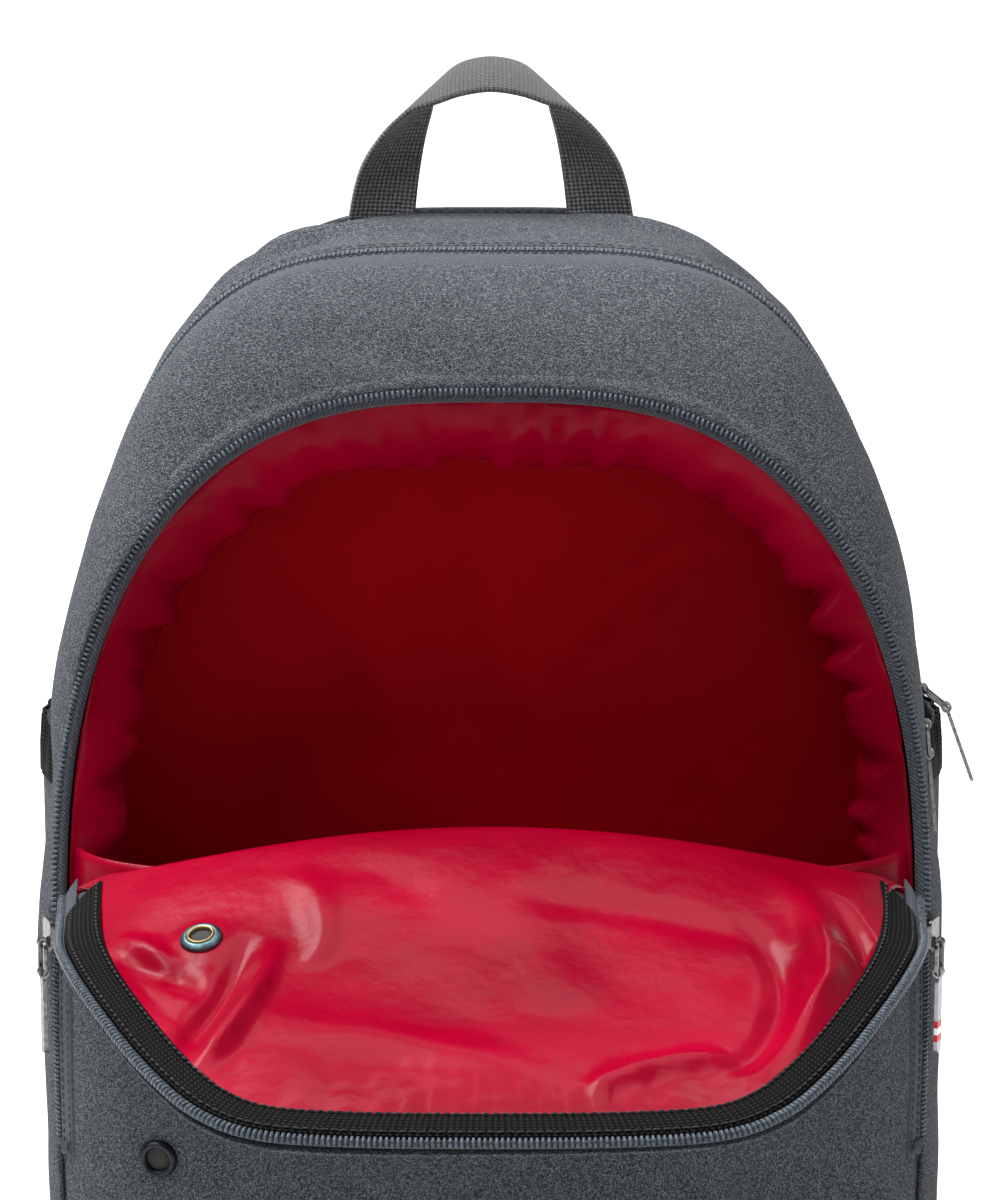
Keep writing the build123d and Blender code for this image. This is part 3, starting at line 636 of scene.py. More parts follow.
def make_main_zip():
    halves = (("rear", "root", 1, REAR_TAPE, 8), ("front", "front_shell", -1, FRONT_TAPE, 12))
    for name, body, sign, outer, count in halves:
        ys = np.linspace(0.0008 * sign, outer, count)
        lines = np.stack([arch(y, SHELL_Z, COLUMNS) for y in ys])
        edge = np.linspace(0, 1, count)[:, None]
        out = TAPE_LIFT + 0.0003 * wavy(lines, (40, 40, 40), 1.0) - 0.0006 * edge
        points = lines + skin_normal(lines) * out[..., None]
        tape = grid_piece(f"main_tape_{name}", points, TAPE, 0.0008, flip=sign < 0)
        finish_piece(tape, body, "zip_tape", f"main_zip_tape_{name}")
        line = arch(sign * 0.0011, SHELL_Z, 900)
        teeth = bead_row(f"main_teeth_{name}", line, skin_normal(line), COIL_PITCH,
                         (0.00062, 0.0015, 0.0015), TEETH, 0.0010)
        finish_piece(teeth, body, "zip_coil", f"main_zip_coil_{name}")
        for k, y in enumerate((0.0042 * sign, ys[-1] - 0.0012 * sign)):
            stitch_row(f"main_tape_stitch_{name}_{k}", arch(y, SHELL_Z, FINE_COLUMNS), body, "zip_tape",
                       lift=0.0011)


# start, end, height, half width and bow of each fold of the yoke, seen from the front
YOKE_CREASES = (
    ((-0.150, 0.300), (-0.118, 0.420), 0.003, 0.009, 0.006),
    ((-0.156, 0.285), (-0.140, 0.350), -0.0025, 0.005, 0.002),
    ((0.120, 0.425), (0.146, 0.345), 0.0028, 0.008, 0.005),
    ((0.140, 0.330), (0.160, 0.270), -0.0025, 0.005, 0.002),
    ((-0.07, 0.462), (-0.02, 0.452), -0.0016, 0.005, 0.002),
)


def make_yoke():
    """Front shell outside the shoe zip: from the main zip to the opening and its lower zips."""
    count, rows = 300, 34
    zs = np.linspace(SHELL_Z, SILL_Z, 60)
    inner = np.concatenate([zip_line(-1, zs)[:-1], opening_curve(500), zip_line(1, zs[::-1])[1:]])
    inner = resample(inner, count)
    outer = arch(FRONT_TAPE + 0.004, SHELL_Z, count)
    t = np.linspace(0, 1, rows)[:, None, None]
    points = on_skin(inner[None] * (1 - t) + outer[None] * t)
    swell = np.sin(np.linspace(0, math.pi, rows))[:, None] ** 0.8
    drift = wavy(points, (12, 12, 12), 11.0) + 0.5 * wavy(points, (36, 36, 36), 5.0)
    out = swell * (0.0022 + 0.0022 * drift)
    out += sum(crease(points, *fold) for fold in YOKE_CREASES)
    points = points + skin_normal(points) * out[..., None]
    cloth = cloth_panel("front_yoke_cloth", points, HEATHER, CLOTH, "stretched", "shoe_lining", flip=True)
    finish_piece(cloth, "front_shell", "heather", "front_yoke")


# distance beside the opening's edge and height over the surface, across each strip
SHOE_TAPE_SECTION = ((0.0018, 0.0012), (0.0008, 0.0018), (-0.0012, 0.0018), (-0.0022, 0.0010),
                     (-0.0024, -0.001))
EDGE_FOLD_SECTION = ((0.0078, 0.0006), (0.0066, 0.0022), (0.0045, 0.0029), (0.0024, 0.0029),
                     (0.0012, 0.0022), (0.0009, 0.0008))


def make_shoe_zip():
    edge = opening_curve(520)
    strips = (("shoe_tape_body", SHOE_TAPE_SECTION, TAPE, 0.0007, "zip_tape", ["shoe_zip_tape"]),
              ("shoe_edge_fold", EDGE_FOLD_SECTION, HEATHER, 0.0008, "heather", []))
    for name, section, material, thick, slot, nodes in strips:
        rows = np.stack([beside(edge, d, out) for d, out in section])
        finish_piece(grid_piece(name, rows, material, thick), "front_shell", slot, *nodes)
    line = beside(edge, -0.0004, 0.0018)
    teeth = bead_row("shoe_teeth_body", line, skin_normal(line), BEAD_PITCH, (0.00064, 0.0017, 0.0022), TEETH)
    finish_piece(teeth, "front_shell", "zip_coil", "shoe_zip_coil")
    stitch_row("shoe_edge_stitch", beside(edge, 0.0058, 0.0027), "front_shell", "heather")
    for side, name in SIDES:
        make_lower_zip(side, name)


def make_lower_zip(side, name):
    """The closed end of the shoe zip on one front corner, down to its bar tack."""
    half, tack_half = 0.0115, 0.0085
    line = zip_line(side, np.linspace(LOWER_ZIP_Z, SILL_Z + 0.004, 60))
    across = np.cross(frames_along(line), skin_normal(line))
    rows = []
    for d in np.linspace(-half, half, 13):
        rows.append(on_skin(line + across * d, TAPE_LIFT - 0.0008 * abs(d) / half))
    tape = grid_piece(f"lower_tape_{name}", np.stack(rows), TAPE, 0.0007, flip=True)
    finish_piece(tape, "front_shell", "zip_tape", f"lower_zip_tape_{name}")
    fine = zip_line(side, np.linspace(LOWER_ZIP_Z + 0.004, SILL_Z, 200))
    coil = bead_row(f"lower_teeth_{name}", fine, skin_normal(fine), COIL_PITCH,
                    (0.00062, 0.0023, 0.0013), TEETH, 0.0010)
    finish_piece(coil, "front_shell", "zip_coil", f"lower_zip_coil_{name}")
    for k, d in enumerate((-0.0095, -0.0048, 0.0048, 0.0095)):
        row = on_skin(line + across * d, TAPE_LIFT)
        stitch_row(f"lower_stitch_{name}_{k}", row, "front_shell", "zip_tape")
    tack = on_skin(line[3] + across[3] * np.linspace(-tack_half, tack_half, 40)[:, None], TAPE_LIFT)
    bar = bead_row(f"bar_tack_{name}", tack, skin_normal(tack), 0.0006, (0.00028, 0.0018, 0.0009),
                   THREAD, 0.0003)
    finish_piece(bar, "front_shell", "heather")


# ---------------------------------------------------------------- the shoe flap and its fold
CREST_Z = 0.2995


def crest_line(x):
    """Top of the fold at a place across the bag."""
    x = np.asarray(x, float)
    z = CREST_Z - 0.017 * (x / 0.125) ** 2
    drop = np.clip((np.abs(x) - 0.132) / 0.026, 0, 1)
    z = z - 0.012 * drop**2
    y = front_y(x, z) - 0.010 + 0.008 * drop
    return y, z


def flap_height(x, y):
    """Height of the open flap's lining."""
    cy, cz = crest_line(np.clip(x, -FLAP_X, FLAP_X))
    plane = HINGE[2] + (y - HINGE[1]) * FLAP_TAN + 0.0008
    at_crest = HINGE[2] + (cy - HINGE[1]) * FLAP_TAN
    run = np.clip((cy - y) / 0.105, 0, 1)
    decay = 0.5 * (1 + np.cos(math.pi * run))
    return plane + (cz - at_crest) * decay


FLAP_OUTLINE = ((156, 0), (152, 36), (143, 70), (128, 103), (112, 130), (97, 148), (78, 159), (48, 163),
                (0, 164))
TRIM_START = 0.010
# start, end, height, half width and bow of each fold of the flap's lining, seen from above
FLAP_CREASES = (
    ((0.100, -0.120), (0.092, -0.236), 0.0085, 0.0080, 0.020),
    ((0.118, -0.128), (0.112, -0.226), -0.0055, 0.0050, 0.017),
    ((0.088, -0.150), (0.080, -0.232), -0.0040, 0.0055, 0.016),
    ((-0.074, -0.165), (-0.104, -0.236), 0.0065, 0.0045, 0.004),
    ((-0.084, -0.160), (-0.113, -0.228), -0.0050, 0.0050, 0.004),
    ((-0.070, -0.130), (-0.060, -0.178), 0.0045, 0.0060, 0.006),
    ((-0.062, -0.128), (-0.020, -0.150), -0.0030, 0.0070, 0.004),
    ((0.010, -0.125), (0.030, -0.200), 0.0026, 0.0120, -0.006),
    ((-0.135, -0.150), (-0.110, -0.178), 0.0032, 0.0050, 0.004),
    ((-0.130, -0.165), (-0.098, -0.190), -0.0026, 0.0045, 0.003),
    ((0.000, -0.150), (0.100, -0.165), -0.0026, 0.0060, 0.004),
    ((-0.090, -0.205), (0.020, -0.235), 0.0026, 0.0090, 0.006),
    ((0.030, -0.245), (0.082, -0.222), 0.0045, 0.0050, 0.004),
    ((0.120, -0.165), (0.140, -0.190), 0.0035, 0.0045, 0.002),
)


def flap_edge(count, inset=0.0, start=0.0):
    """The flap's outline seen from above, left root to right root."""
    knots = np.array([(x, u, 0.0) for x, u in FLAP_OUTLINE]) / 1000
    length = HINGE[1] - FLAP_TIP_Y
    knots *= np.array([FLAP_X / knots[0, 0], length / knots[-1, 1], 1])
    knots = np.concatenate([knots, knots[::-1][1:] * MIRROR])
    outline = smooth_line(knots, 1600)
    side = np.cross(frames_along(outline), UP)
    inward = outline - side * inset
    inward = inward[inward[:, 1] >= start]
    u = inward[:, 1]
    root = np.clip(1 - u / 0.045, 0, 1)
    y = HINGE[1] - u + root**2 * 0.030
    line = np.stack([inward[:, 0], y, np.zeros_like(u)], axis=1)
    line = resample(line[::-1] if line[0, 0] > 0 else line, count)
    line[:, 2] = flap_height(line[:, 0], line[:, 1])
    return line


def lining_folds(points):
    """Broad soft folds and edge puckers of the flap's lining."""
    x, y = points[..., 0], points[..., 1]
    h = 0.0030 * wavy(points, (11, 15, 0.1), 2.0) + 0.0012 * wavy(points, (38, 44, 0.1), 9.0)
    for fold in FLAP_CREASES:
        h += crease(points, *fold, (0, 1))
    near_edge = np.clip((-0.222 - y) / 0.030, 0, 1) ** 1.5
    ripple = np.sin(x * 2 * math.pi / 0.021 + 2.4 * np.sin(x * 47) + 1.3 * np.sin(x * 19))
    h += 0.0022 * np.abs(ripple) * near_edge
    return h


def lifted(points, height):
    """Points moved along the open flap's normal."""
    tilt = math.radians(20)
    return points + np.array([0, -math.sin(tilt), math.cos(tilt)]) * height


def blend_flap(piece, node):
    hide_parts(node)
    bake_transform(piece)


# inset from the flap's edge and height over its lining, across each trim
BINDING_SECTION = ((0.0172, 0.0003), (0.0160, 0.0014), (0.0130, 0.0018), (0.0090, 0.0018), (0.0052, 0.0016),
                   (0.0040, 0.0006))
FLAP_TAPE_SECTION = ((0.0070, 0.0002), (0.0045, 0.0002), (0.0025, 0.0), (0.0008, -0.0004))
CREST_HALF = 0.150
FOLD_RADIUS = 0.0075
FLAP_COUNT = 220


def make_flap():
    root_x = np.linspace(-CREST_HALF, CREST_HALF, FLAP_COUNT)
    cy, cz = crest_line(root_x)
    root = np.stack([root_x, cy, cz], axis=1)
    make_flap_lining(root)
    make_flap_trims()
    make_flap_cover(root)


def make_flap_lining(root):
    """From inside the bag over the crest and out to the binding."""
    rows = 60
    rim = flap_edge(FLAP_COUNT, 0.0150, TRIM_START)
    share = np.linspace(0, 1, rows)
    t = share[:, None, None]
    sheet = root[None] * (1 - t) + rim[None] * t
    sheet[..., 2] = flap_height(sheet[..., 0], sheet[..., 1])
    fade = np.sin(np.clip(share * 1.25, 0, 1) * math.pi / 2)[:, None]
    held = np.clip((1 - share) / 0.12, 0, 1)[:, None]
    still = calm(sheet, flap_vent_place()[0])
    folds = lining_folds(sheet) * fade * (0.25 + 0.75 * held) * still
    sheet = lifted(sheet, folds[..., None])
    root_x, cy, cz = root.T
    inside = []
    for q in np.arange(1, 13) / 12:
        angle = math.pi * min(q * 2.2, 1.0)
        y = cy + FOLD_RADIUS * (1 - math.cos(angle))
        z = cz - FOLD_RADIUS * (1 - math.cos(angle / 2)) - 0.070 * max(q - 0.4, 0) / 0.6
        inside.append(np.stack([root_x * (1 - 0.02 * q), y, z], axis=1))
    inside = np.stack(inside[::-1])
    inside[..., 1] += 0.0015 * wavy(inside, (25, 25, 25), 4.0)
    cloth = cloth_panel("flap_lining_cloth", np.concatenate([inside, sheet]), LINING, 0.0010, "folded",
                        "front_lower_cover", flip=True)
    blend_flap(cloth, "flap_lining")


def make_flap_trims():
    """Binding, zip tape, teeth and stitching around the flap's edge."""
    trims = (("flap_binding_tape", BINDING_SECTION, TRIM_START, BINDING, "binding", "flap_binding"),
             ("flap_tape", FLAP_TAPE_SECTION, 0.0, TAPE, "zip_tape", "flap_zip_tape"))
    for name, section, start, material, slot, node in trims:
        bands = [lifted(flap_edge(520, inset, start), height) for inset, height in section]
        finish_piece(grid_piece(name, np.stack(bands), material, 0.0008, flip=True), "flap", slot, node)
    edge = flap_edge(900, 0.0020)
    normal = lifted(np.zeros_like(edge), 1.0)
    teeth = bead_row("flap_teeth", edge, normal, BEAD_PITCH, (0.00064, 0.0020, 0.0022), TEETH)
    finish_piece(teeth, "flap", "zip_coil", "flap_zip_coil")
    for k, inset in enumerate((0.0152, 0.0058)):
        line = flap_edge(520, inset, TRIM_START + 0.001)
        normal = lifted(np.zeros_like(line), 1.0)
        row = stitches(f"binding_stitch_{k}", lifted(line, 0.0021), normal, BLACK_CLOTH)
        finish_piece(row, "flap", "binding")


def make_flap_cover(root):
    """Outside cloth: under the open flap, over the crest's front and down the lower cover's top."""
    share = np.linspace(0, 1, 40)
    rim = flap_edge(FLAP_COUNT, 0.0015, TRIM_START)
    under = []
    for q in share:
        line = root * (1 - q) + rim * q
        line[:, 2] = flap_height(line[:, 0], line[:, 1]) - 0.0030 - 0.0022 * math.sin(math.pi * q)
        under.append(line)
    under = np.stack(under)
    under[..., 2] -= 0.0012 * (1 + wavy(under, (14, 14, 1), 6.0))
    under[..., 2] += np.minimum(lining_folds(under), 0) * np.sin(share * math.pi)[:, None]
    root_x, cy, cz = root.T
    down = []
    for q in np.arange(1, 11) / 10:
        z = cz - 0.0035 - 0.045 * q
        wall = front_y(root_x, z) - 0.0012
        lean = (1 - q) ** 2
        down.append(np.stack([root_x, cy * lean + wall * (1 - lean) + 0.001, z], axis=1))
    cloth = cloth_panel("flap_cover_cloth", np.concatenate([np.stack(down[::-1]), under]), HEATHER, 0.0012,
                        "folded", "front_lower_cover")
    blend_flap(cloth, "flap_cover")


CROWN_Z = 0.20
COVER_CREASES = (
    ((-0.12, 0.235), (0.02, 0.215), 0.0025, 0.010, -0.010),
    ((-0.02, 0.185), (0.13, 0.225), -0.0022, 0.008, 0.008),
)


def make_lower_cover():
    """Front shell between the two lower zips, up to the fold."""
    zs = np.linspace(SHELL_Z, SILL_Z + 0.004, 70)[:, None]
    share = np.linspace(0, 1, 200)
    x = zip_line(-1, zs)[..., 0] * (1 - share) + zip_line(1, zs)[..., 0] * share
    crown = np.clip((zs - CROWN_Z) / (SILL_Z - CROWN_Z), 0, 1) ** 1.5
    top = crest_line(x)[1] - 0.012
    z = zs + crown * np.maximum(top - SILL_Z, 0) * (1 - np.abs(x / FLAP_X) ** 4)
    points = np.stack([x, front_y(x, z), z], axis=-1)
    normals = skin_normal(points)
    drift = wavy(points, (10, 10, 14), 21.0) + 0.4 * wavy(points, (40, 40, 50), 2.5)
    out = np.clip((FLAP_X - np.abs(x)) / 0.02, 0, 1) * (0.0008 + 0.0022 * drift)
    for fold in COVER_CREASES:
        out += crease(points, *fold)
    points = points + normals * (out * calm(points, front_vent_place()[0]))[..., None]
    cloth = cloth_panel("lower_cover_cloth", points, HEATHER, CLOTH, "stretched", "shoe_lining")
    finish_piece(cloth, "front_shell", "heather", "front_lower_cover")
    row = stitches("cover_seam_stitch", points[3] + normals[3] * 0.0002, normals[3], THREAD)
    finish_piece(row, "front_shell", "heather")


# ---------------------------------------------------------------- inside the shoe compartment
LINING_THICK = 0.0009
BACK_LINING_CREASES = (
    ((-0.10, 0.40), (-0.03, 0.30), -0.004, 0.010, 0.01),
    ((0.10, 0.39), (0.02, 0.33), -0.0035, 0.009, -0.008),
    ((-0.02, 0.41), (0.01, 0.30), -0.003, 0.008, 0.006),
)


def make_shoe_inside():
    back_y = corners("shoe_divider")[0][1] - 0.0035
    make_hood(back_y)
    make_back_lining(back_y)
    zs = np.linspace(SHELL_Z + 0.004, 0.280, 50)
    points = np.stack([front_ring(z, 120, 0.0045) for z in zs])
    points[..., 1] = np.minimum(points[..., 1], back_y)
    skirt = cloth_panel("shoe_lining_skirt", points, LINING, LINING_THICK, "hung", "front_lower_cover",
                        flip=True)
    finish_piece(skirt, "front_shell", "lining")
    for node in ("shoe_divider", "shoe_floor"):
        paint(node, LINING)


def make_hood(back_y):
    """Gathered lining from the opening's edge back to the divider."""
    count, rows = 260, 36
    top_z, low_z, half = 0.415, 0.255, 0.142
    a = np.linspace(0, math.pi / 2, 400)
    x = half * np.cos(a) ** (2 / 2.8)
    z = low_z + (top_z - low_z) * np.sin(a) ** (2 / 2.4)
    deep = both_sides(x, np.full_like(x, back_y), z, count)
    near = beside(opening_curve(count), -0.001, -0.0022)
    middle = np.array([0.0, 0.0, 0.30])
    s = np.linspace(0, 1, count)
    grid = []
    for t in np.linspace(0, 1, rows):
        line = near * (1 - t) + deep * t
        inward = middle - line
        inward[:, 1] = 0
        inward /= np.linalg.norm(inward, axis=1, keepdims=True)
        line = line + inward * math.sin(math.pi * min(t * 1.1, 1)) * 0.010
        line[:, 1] -= math.sin(math.pi * t) * 0.012
        gather = np.sin(s * 2 * math.pi * 17 + 3 * np.sin(s * 23)) * 0.0044
        gather += np.sin(s * 2 * math.pi * 31 + 2 * np.sin(s * 11 + 2)) * 0.0024
        gather -= np.abs(np.sin(s * 2 * math.pi * 23 + 4 * np.sin(s * 7))) * 0.0026 * t
        line = line + inward * (gather * math.sin(math.pi * min(t * 1.4, 1)))[:, None]
        line[:, 1] += gather * 0.8 * math.sin(math.pi * t)
        grid.append(line)
    points = np.stack(grid)
    points[..., 0] += 0.003 * wavy(points, (30, 30, 30), 3.0)
    points[..., 2] += 0.004 * wavy(points, (26, 26, 26), 8.0)
    points[0] = near
    hood = cloth_panel("shoe_lining_hood", points, LINING, LINING_THICK, "gathered", "shoe_zip_tape")
    finish_piece(hood, "front_shell", "lining", "shoe_lining")


def make_back_lining(back_y):
    """Lining that hangs in front of the divider."""
    grid = np.stack(np.meshgrid(np.linspace(-1, 1, 120), np.linspace(0.126, 0.428, 110)), axis=-1)
    grid[..., 0] *= half_width(grid[..., 1]) - 0.006
    points = np.stack([grid[..., 0], np.full(grid.shape[:2], back_y), grid[..., 1]], axis=-1)
    out = 0.0035 * wavy(points, (9, 1, 7), 1.5) + 0.0012 * wavy(points, (30, 1, 24), 5.5)
    out += sum(crease(points, *fold) for fold in BACK_LINING_CREASES)
    points[..., 1] += out - 0.002
    # Painted shade: the back wall wears the lining's shaded copy, not the lit lining.
    wall = cloth_panel("shoe_back_lining", points, LINING_PAINTED_SHADE, LINING_THICK, "hung", "shoe_divider")
    finish_piece(wall, "front_shell", "lining")


def paint(node, material):
    """A CAD node keeps its shape and takes a better material."""
    piece = bpy.data.objects[node] if node in bpy.data.objects else frame["nodes"][node]
    if not piece.material_slots:
        piece.data.materials.append(material)
    for place in piece.material_slots:
        place.link = "OBJECT"
        place.material = material


# ---------------------------------------------------------------- carrying parts
HANDLE_OUTER = (
    (-55.8, 88, 474), (-55.2, 88, 484), (-52.5, 85.4, 498), (-48.9, 82.4, 508), (-43, 79.4, 517.2),
    (-36.4, 77.5, 524.6), (-30.2, 76.6, 529.2), (-21, 76.2, 532), (-11.5, 76.3, 535.1), (0, 76.4, 536.7),
)
HANDLE_INNER = (
    (-30.4, 88, 474), (-29.8, 88.4, 484), (-28.2, 90.6, 498), (-26.8, 93.6, 509), (-25.2, 96.6, 518),
    (-23.2, 98.5, 526), (-21.7, 99.4, 533.4), (-17.4, 99.7, 539.2), (-10.4, 99.6, 544), (0, 99.6, 545.9),
)


def mirrored(half_points):
    """A curve from the left foot over the top to the right foot, in metres."""
    half = np.array(half_points, float) / 1000
    return smooth_line(np.concatenate([half, half[::-1][1:] * MIRROR]), 200)


def make_handle():
    """Webbing that faces forward at its feet and turns over to lie level at the top."""
    outer, inner = mirrored(HANDLE_OUTER), mirrored(HANDLE_INNER)
    across = np.linspace(0, 1, 17)
    wide = inner - outer
    normal = np.cross(frames_along((outer + inner) / 2), wide)
    normal /= np.linalg.norm(normal, axis=1, keepdims=True)
    curl = 0.0016 * (4 * across * (1 - across))
    grid = np.stack([outer + wide * a + normal * c for a, c in zip(across, curl)])
    piece = grid_piece("haul_loop", grid, WEBBING, 0.0018, flip=True, offset=0.0)
    piece.data.materials.append(WEBBING_FACE)
    piece.modifiers["Thickness"].material_offset = 1
    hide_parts("haul_handle")
    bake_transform(piece)


def smooth_line(knots, count):
    """A smooth curve through the points (Catmull-Rom)."""
    k = np.concatenate([[2 * knots[0] - knots[1]], knots, [2 * knots[-1] - knots[-2]]])
    points = []
    for i in range(1, len(k) - 2):
        for t in np.linspace(0, 1, 40, endpoint=False):
            a, b, c, d = k[i - 1], k[i], k[i + 1], k[i + 2]
            points.append(0.5 * (2 * b + (c - a) * t + (2 * a - 5 * b + 4 * c - d) * t**2
                                 + (3 * b - a - 3 * c + d) * t**3))
    points.append(knots[-1])
    return resample(np.array(points), count)


def round_edges(piece, width):
    bevel = piece.modifiers.new("Soft edges", "BEVEL")
    bevel.width = width
    bevel.segments = 2
    bevel.limit_method = "ANGLE"


def make_pockets():
    for side, name in SIDES:
        low, high = corners(f"side_pocket_{name}")
        outer = max(abs(low[0]), abs(high[0]))
        y, z = np.meshgrid(np.linspace(low[1], high[1], 44), np.linspace(low[2], high[2], 90))
        across = (y - low[1]) / (high[1] - low[1])
        up = (z - low[2]) / (high[2] - low[2])
        base = on_skin(np.stack([np.full_like(y, 0.15), y, z], axis=-1))[..., 0]
        bulge = np.clip(np.sin(math.pi * across), 0, 1) ** 0.45
        foot = np.clip(up / 0.06, 0, 1) ** 0.5
        drawn = 1 - 0.10 * np.clip((up - 0.93) / 0.07, 0, 1)
        x = base + (outer - base) * bulge * foot * drawn + 0.0008
        points = np.stack([side * x, y, z], axis=-1)
        ruffle = np.sin(y * 2 * math.pi / 0.0085 + 2 * np.sin(y * 160))
        mask = np.clip((up - 0.90) / 0.1, 0, 1)
        drift = wavy(points, (18, 18, 12), 4.4)
        points[..., 0] += side * (0.0006 * ruffle * mask + 0.0012 * drift * np.sin(math.pi * up))
        cloth = cloth_panel(f"pocket_cloth_{name}", points, HEATHER, 0.0014, "stretched", "rear_gusset",
                            flip=side < 0)
        finish_piece(cloth, "root", "heather", f"side_pocket_{name}")
        hem = np.stack([points[-7], points[-7], points[-4], points[-1], points[-1]])
        lift = np.array([0.0002, 0.0011, 0.0014, 0.0012, 0.0])[:, None]
        hem[..., 0] += side * lift
        hem[-2:, :, 2] += 0.0012
        band = grid_piece(f"pocket_hem_{name}", hem, BINDING, 0.0008, flip=side < 0)
        finish_piece(band, "root", "binding")


def make_base_and_wall():
    zs = np.linspace(FOOT_Z, corners("lower_front_wall")[1][2] + 0.0015, 46)
    points = np.stack([front_ring(z, 180, 0.0, 0.004 * max(0, 1 - z / 0.012) ** 2) for z in zs])
    drift = wavy(points, (12, 12, 16), 31.0)
    up = np.sin(np.linspace(0, math.pi, len(zs)))[:, None]
    points = points + skin_normal(points) * (up * 0.0018 * drift)[..., None]
    for edge, inner in ((0, 1), (-1, -2)):
        points[:, edge, 1] = REAR_TAPE - SEAM_LAP
        points[:, edge, 0] = points[:, inner, 0]
    cloth = cloth_panel("lower_wall_cloth", points, HEATHER, CLOTH, "stretched", "base_panel", flip=True)
    finish_piece(cloth, "root", "heather", "lower_front_wall")
    paint("base_panel", BLACK_CLOTH)
    paint("base_board", BOARD)


def make_back():
    border = arch(BACK - 0.0028, 0.003, COLUMNS)
    half = COLUMNS // 2
    left, right = border[:half], border[::-1][:half]
    share = 0.5 - 0.5 * np.cos(np.linspace(0, math.pi, 90))[:, None, None]
    points = left * (1 - share) + right * share
    gap = np.linalg.norm(points[:, :, None] - border[None, None], axis=-1).min(axis=-1)
    rise = np.clip(gap / 0.009, 0, 1)
    points[..., 1] = BACK - 0.0028 + 0.0032 * np.sin(rise * math.pi / 2)
    points[..., 1] += 0.0004 * rise * wavy(points, (16, 1, 16), 12.0)
    whole = tuple(float(np.ptp(border[:, axis])) + 0.004 for axis in (0, 2))
    piece = cloth_panel("back_panel_cloth", points, HEATHER, 0.0, "stretched", "main_lining", flat=whole)
    finish_piece(piece, "root", "heather", "back_panel", "back_foam")
    for _, name in SIDES:
        make_pad(name)
        make_strap(name)
    patch("strap_yoke_patch", *corners("strap_yoke"), HEATHER, "strap_yoke")
    for node, material in (("main_lining", LINING), ("racket_sleeve", LINING), ("sleeve_binding", BINDING)):
        paint(node, material)


PAD_CORNER = 0.024
PAD_GROOVES = (0.25, 0.5, 0.75)


def past_corner(share, size):
    """Distance from a pad's middle up to where its corner starts, and the rest beyond it."""
    away, straight = np.abs(share - 0.5) * size, size / 2 - PAD_CORNER
    return np.minimum(away, straight), np.maximum(away - straight, 0)


def make_pad(name):
    low, high = corners(f"back_pad_{name}")
    u, v = np.meshgrid(np.linspace(0, 1, 46), np.linspace(0, 1, 130))
    width, height = high[0] - low[0], high[2] - low[2]
    flat_x, dx = past_corner(u, width)
    flat_z, dz = past_corner(v, height)
    reach = np.hypot(dx, dz)
    shrink = np.where(reach > 0, PAD_CORNER / np.maximum(reach, PAD_CORNER), 1)
    x = low[0] + width * (0.5 + np.sign(u - 0.5) * (flat_x + dx * shrink) / width)
    z = low[2] + height * (0.5 + np.sign(v - 0.5) * (flat_z + dz * shrink) / height)
    edge = np.minimum(np.minimum(u, 1 - u) * width, np.minimum(v, 1 - v) * height)
    crown = 1 - np.exp(-edge / 0.008)
    groove = sum(np.exp(-((v - at) * height / 0.0045) ** 2) for at in PAD_GROOVES)
    y = BACK + 0.0005 + (high[1] - BACK) * crown * (1 - 0.6 * np.clip(groove, 0, 1)) * 0.98
    points = np.stack([x, y, z], axis=-1)
    points[..., 1] += 0.0006 * wavy(points, (30, 1, 30), 2.0) * crown
    pad = grid_piece(f"back_pad_mesh_{name}", points, AIR_MESH)
    finish_piece(pad, "root", "mesh", f"back_pad_{name}")
    ring = np.concatenate([points[0], points[1:, -1], points[-1][::-1][1:], points[::-1][1:, 0]])
    ring = resample(ring, 420)
    ring[:, 1] = BACK + 0.0022
    finish_piece(tube_piece(f"pad_piping_{name}", ring, 0.0013, PIPING, 6), "root", "heather")


STRAP_THICK = 0.012
STRAP_LINE = ((0.100, 0.452), (0.112, 0.412), (0.125, 0.345), (0.129, 0.285), (0.121, 0.205), (0.108, 0.132))
WEB_HALF = 0.0125


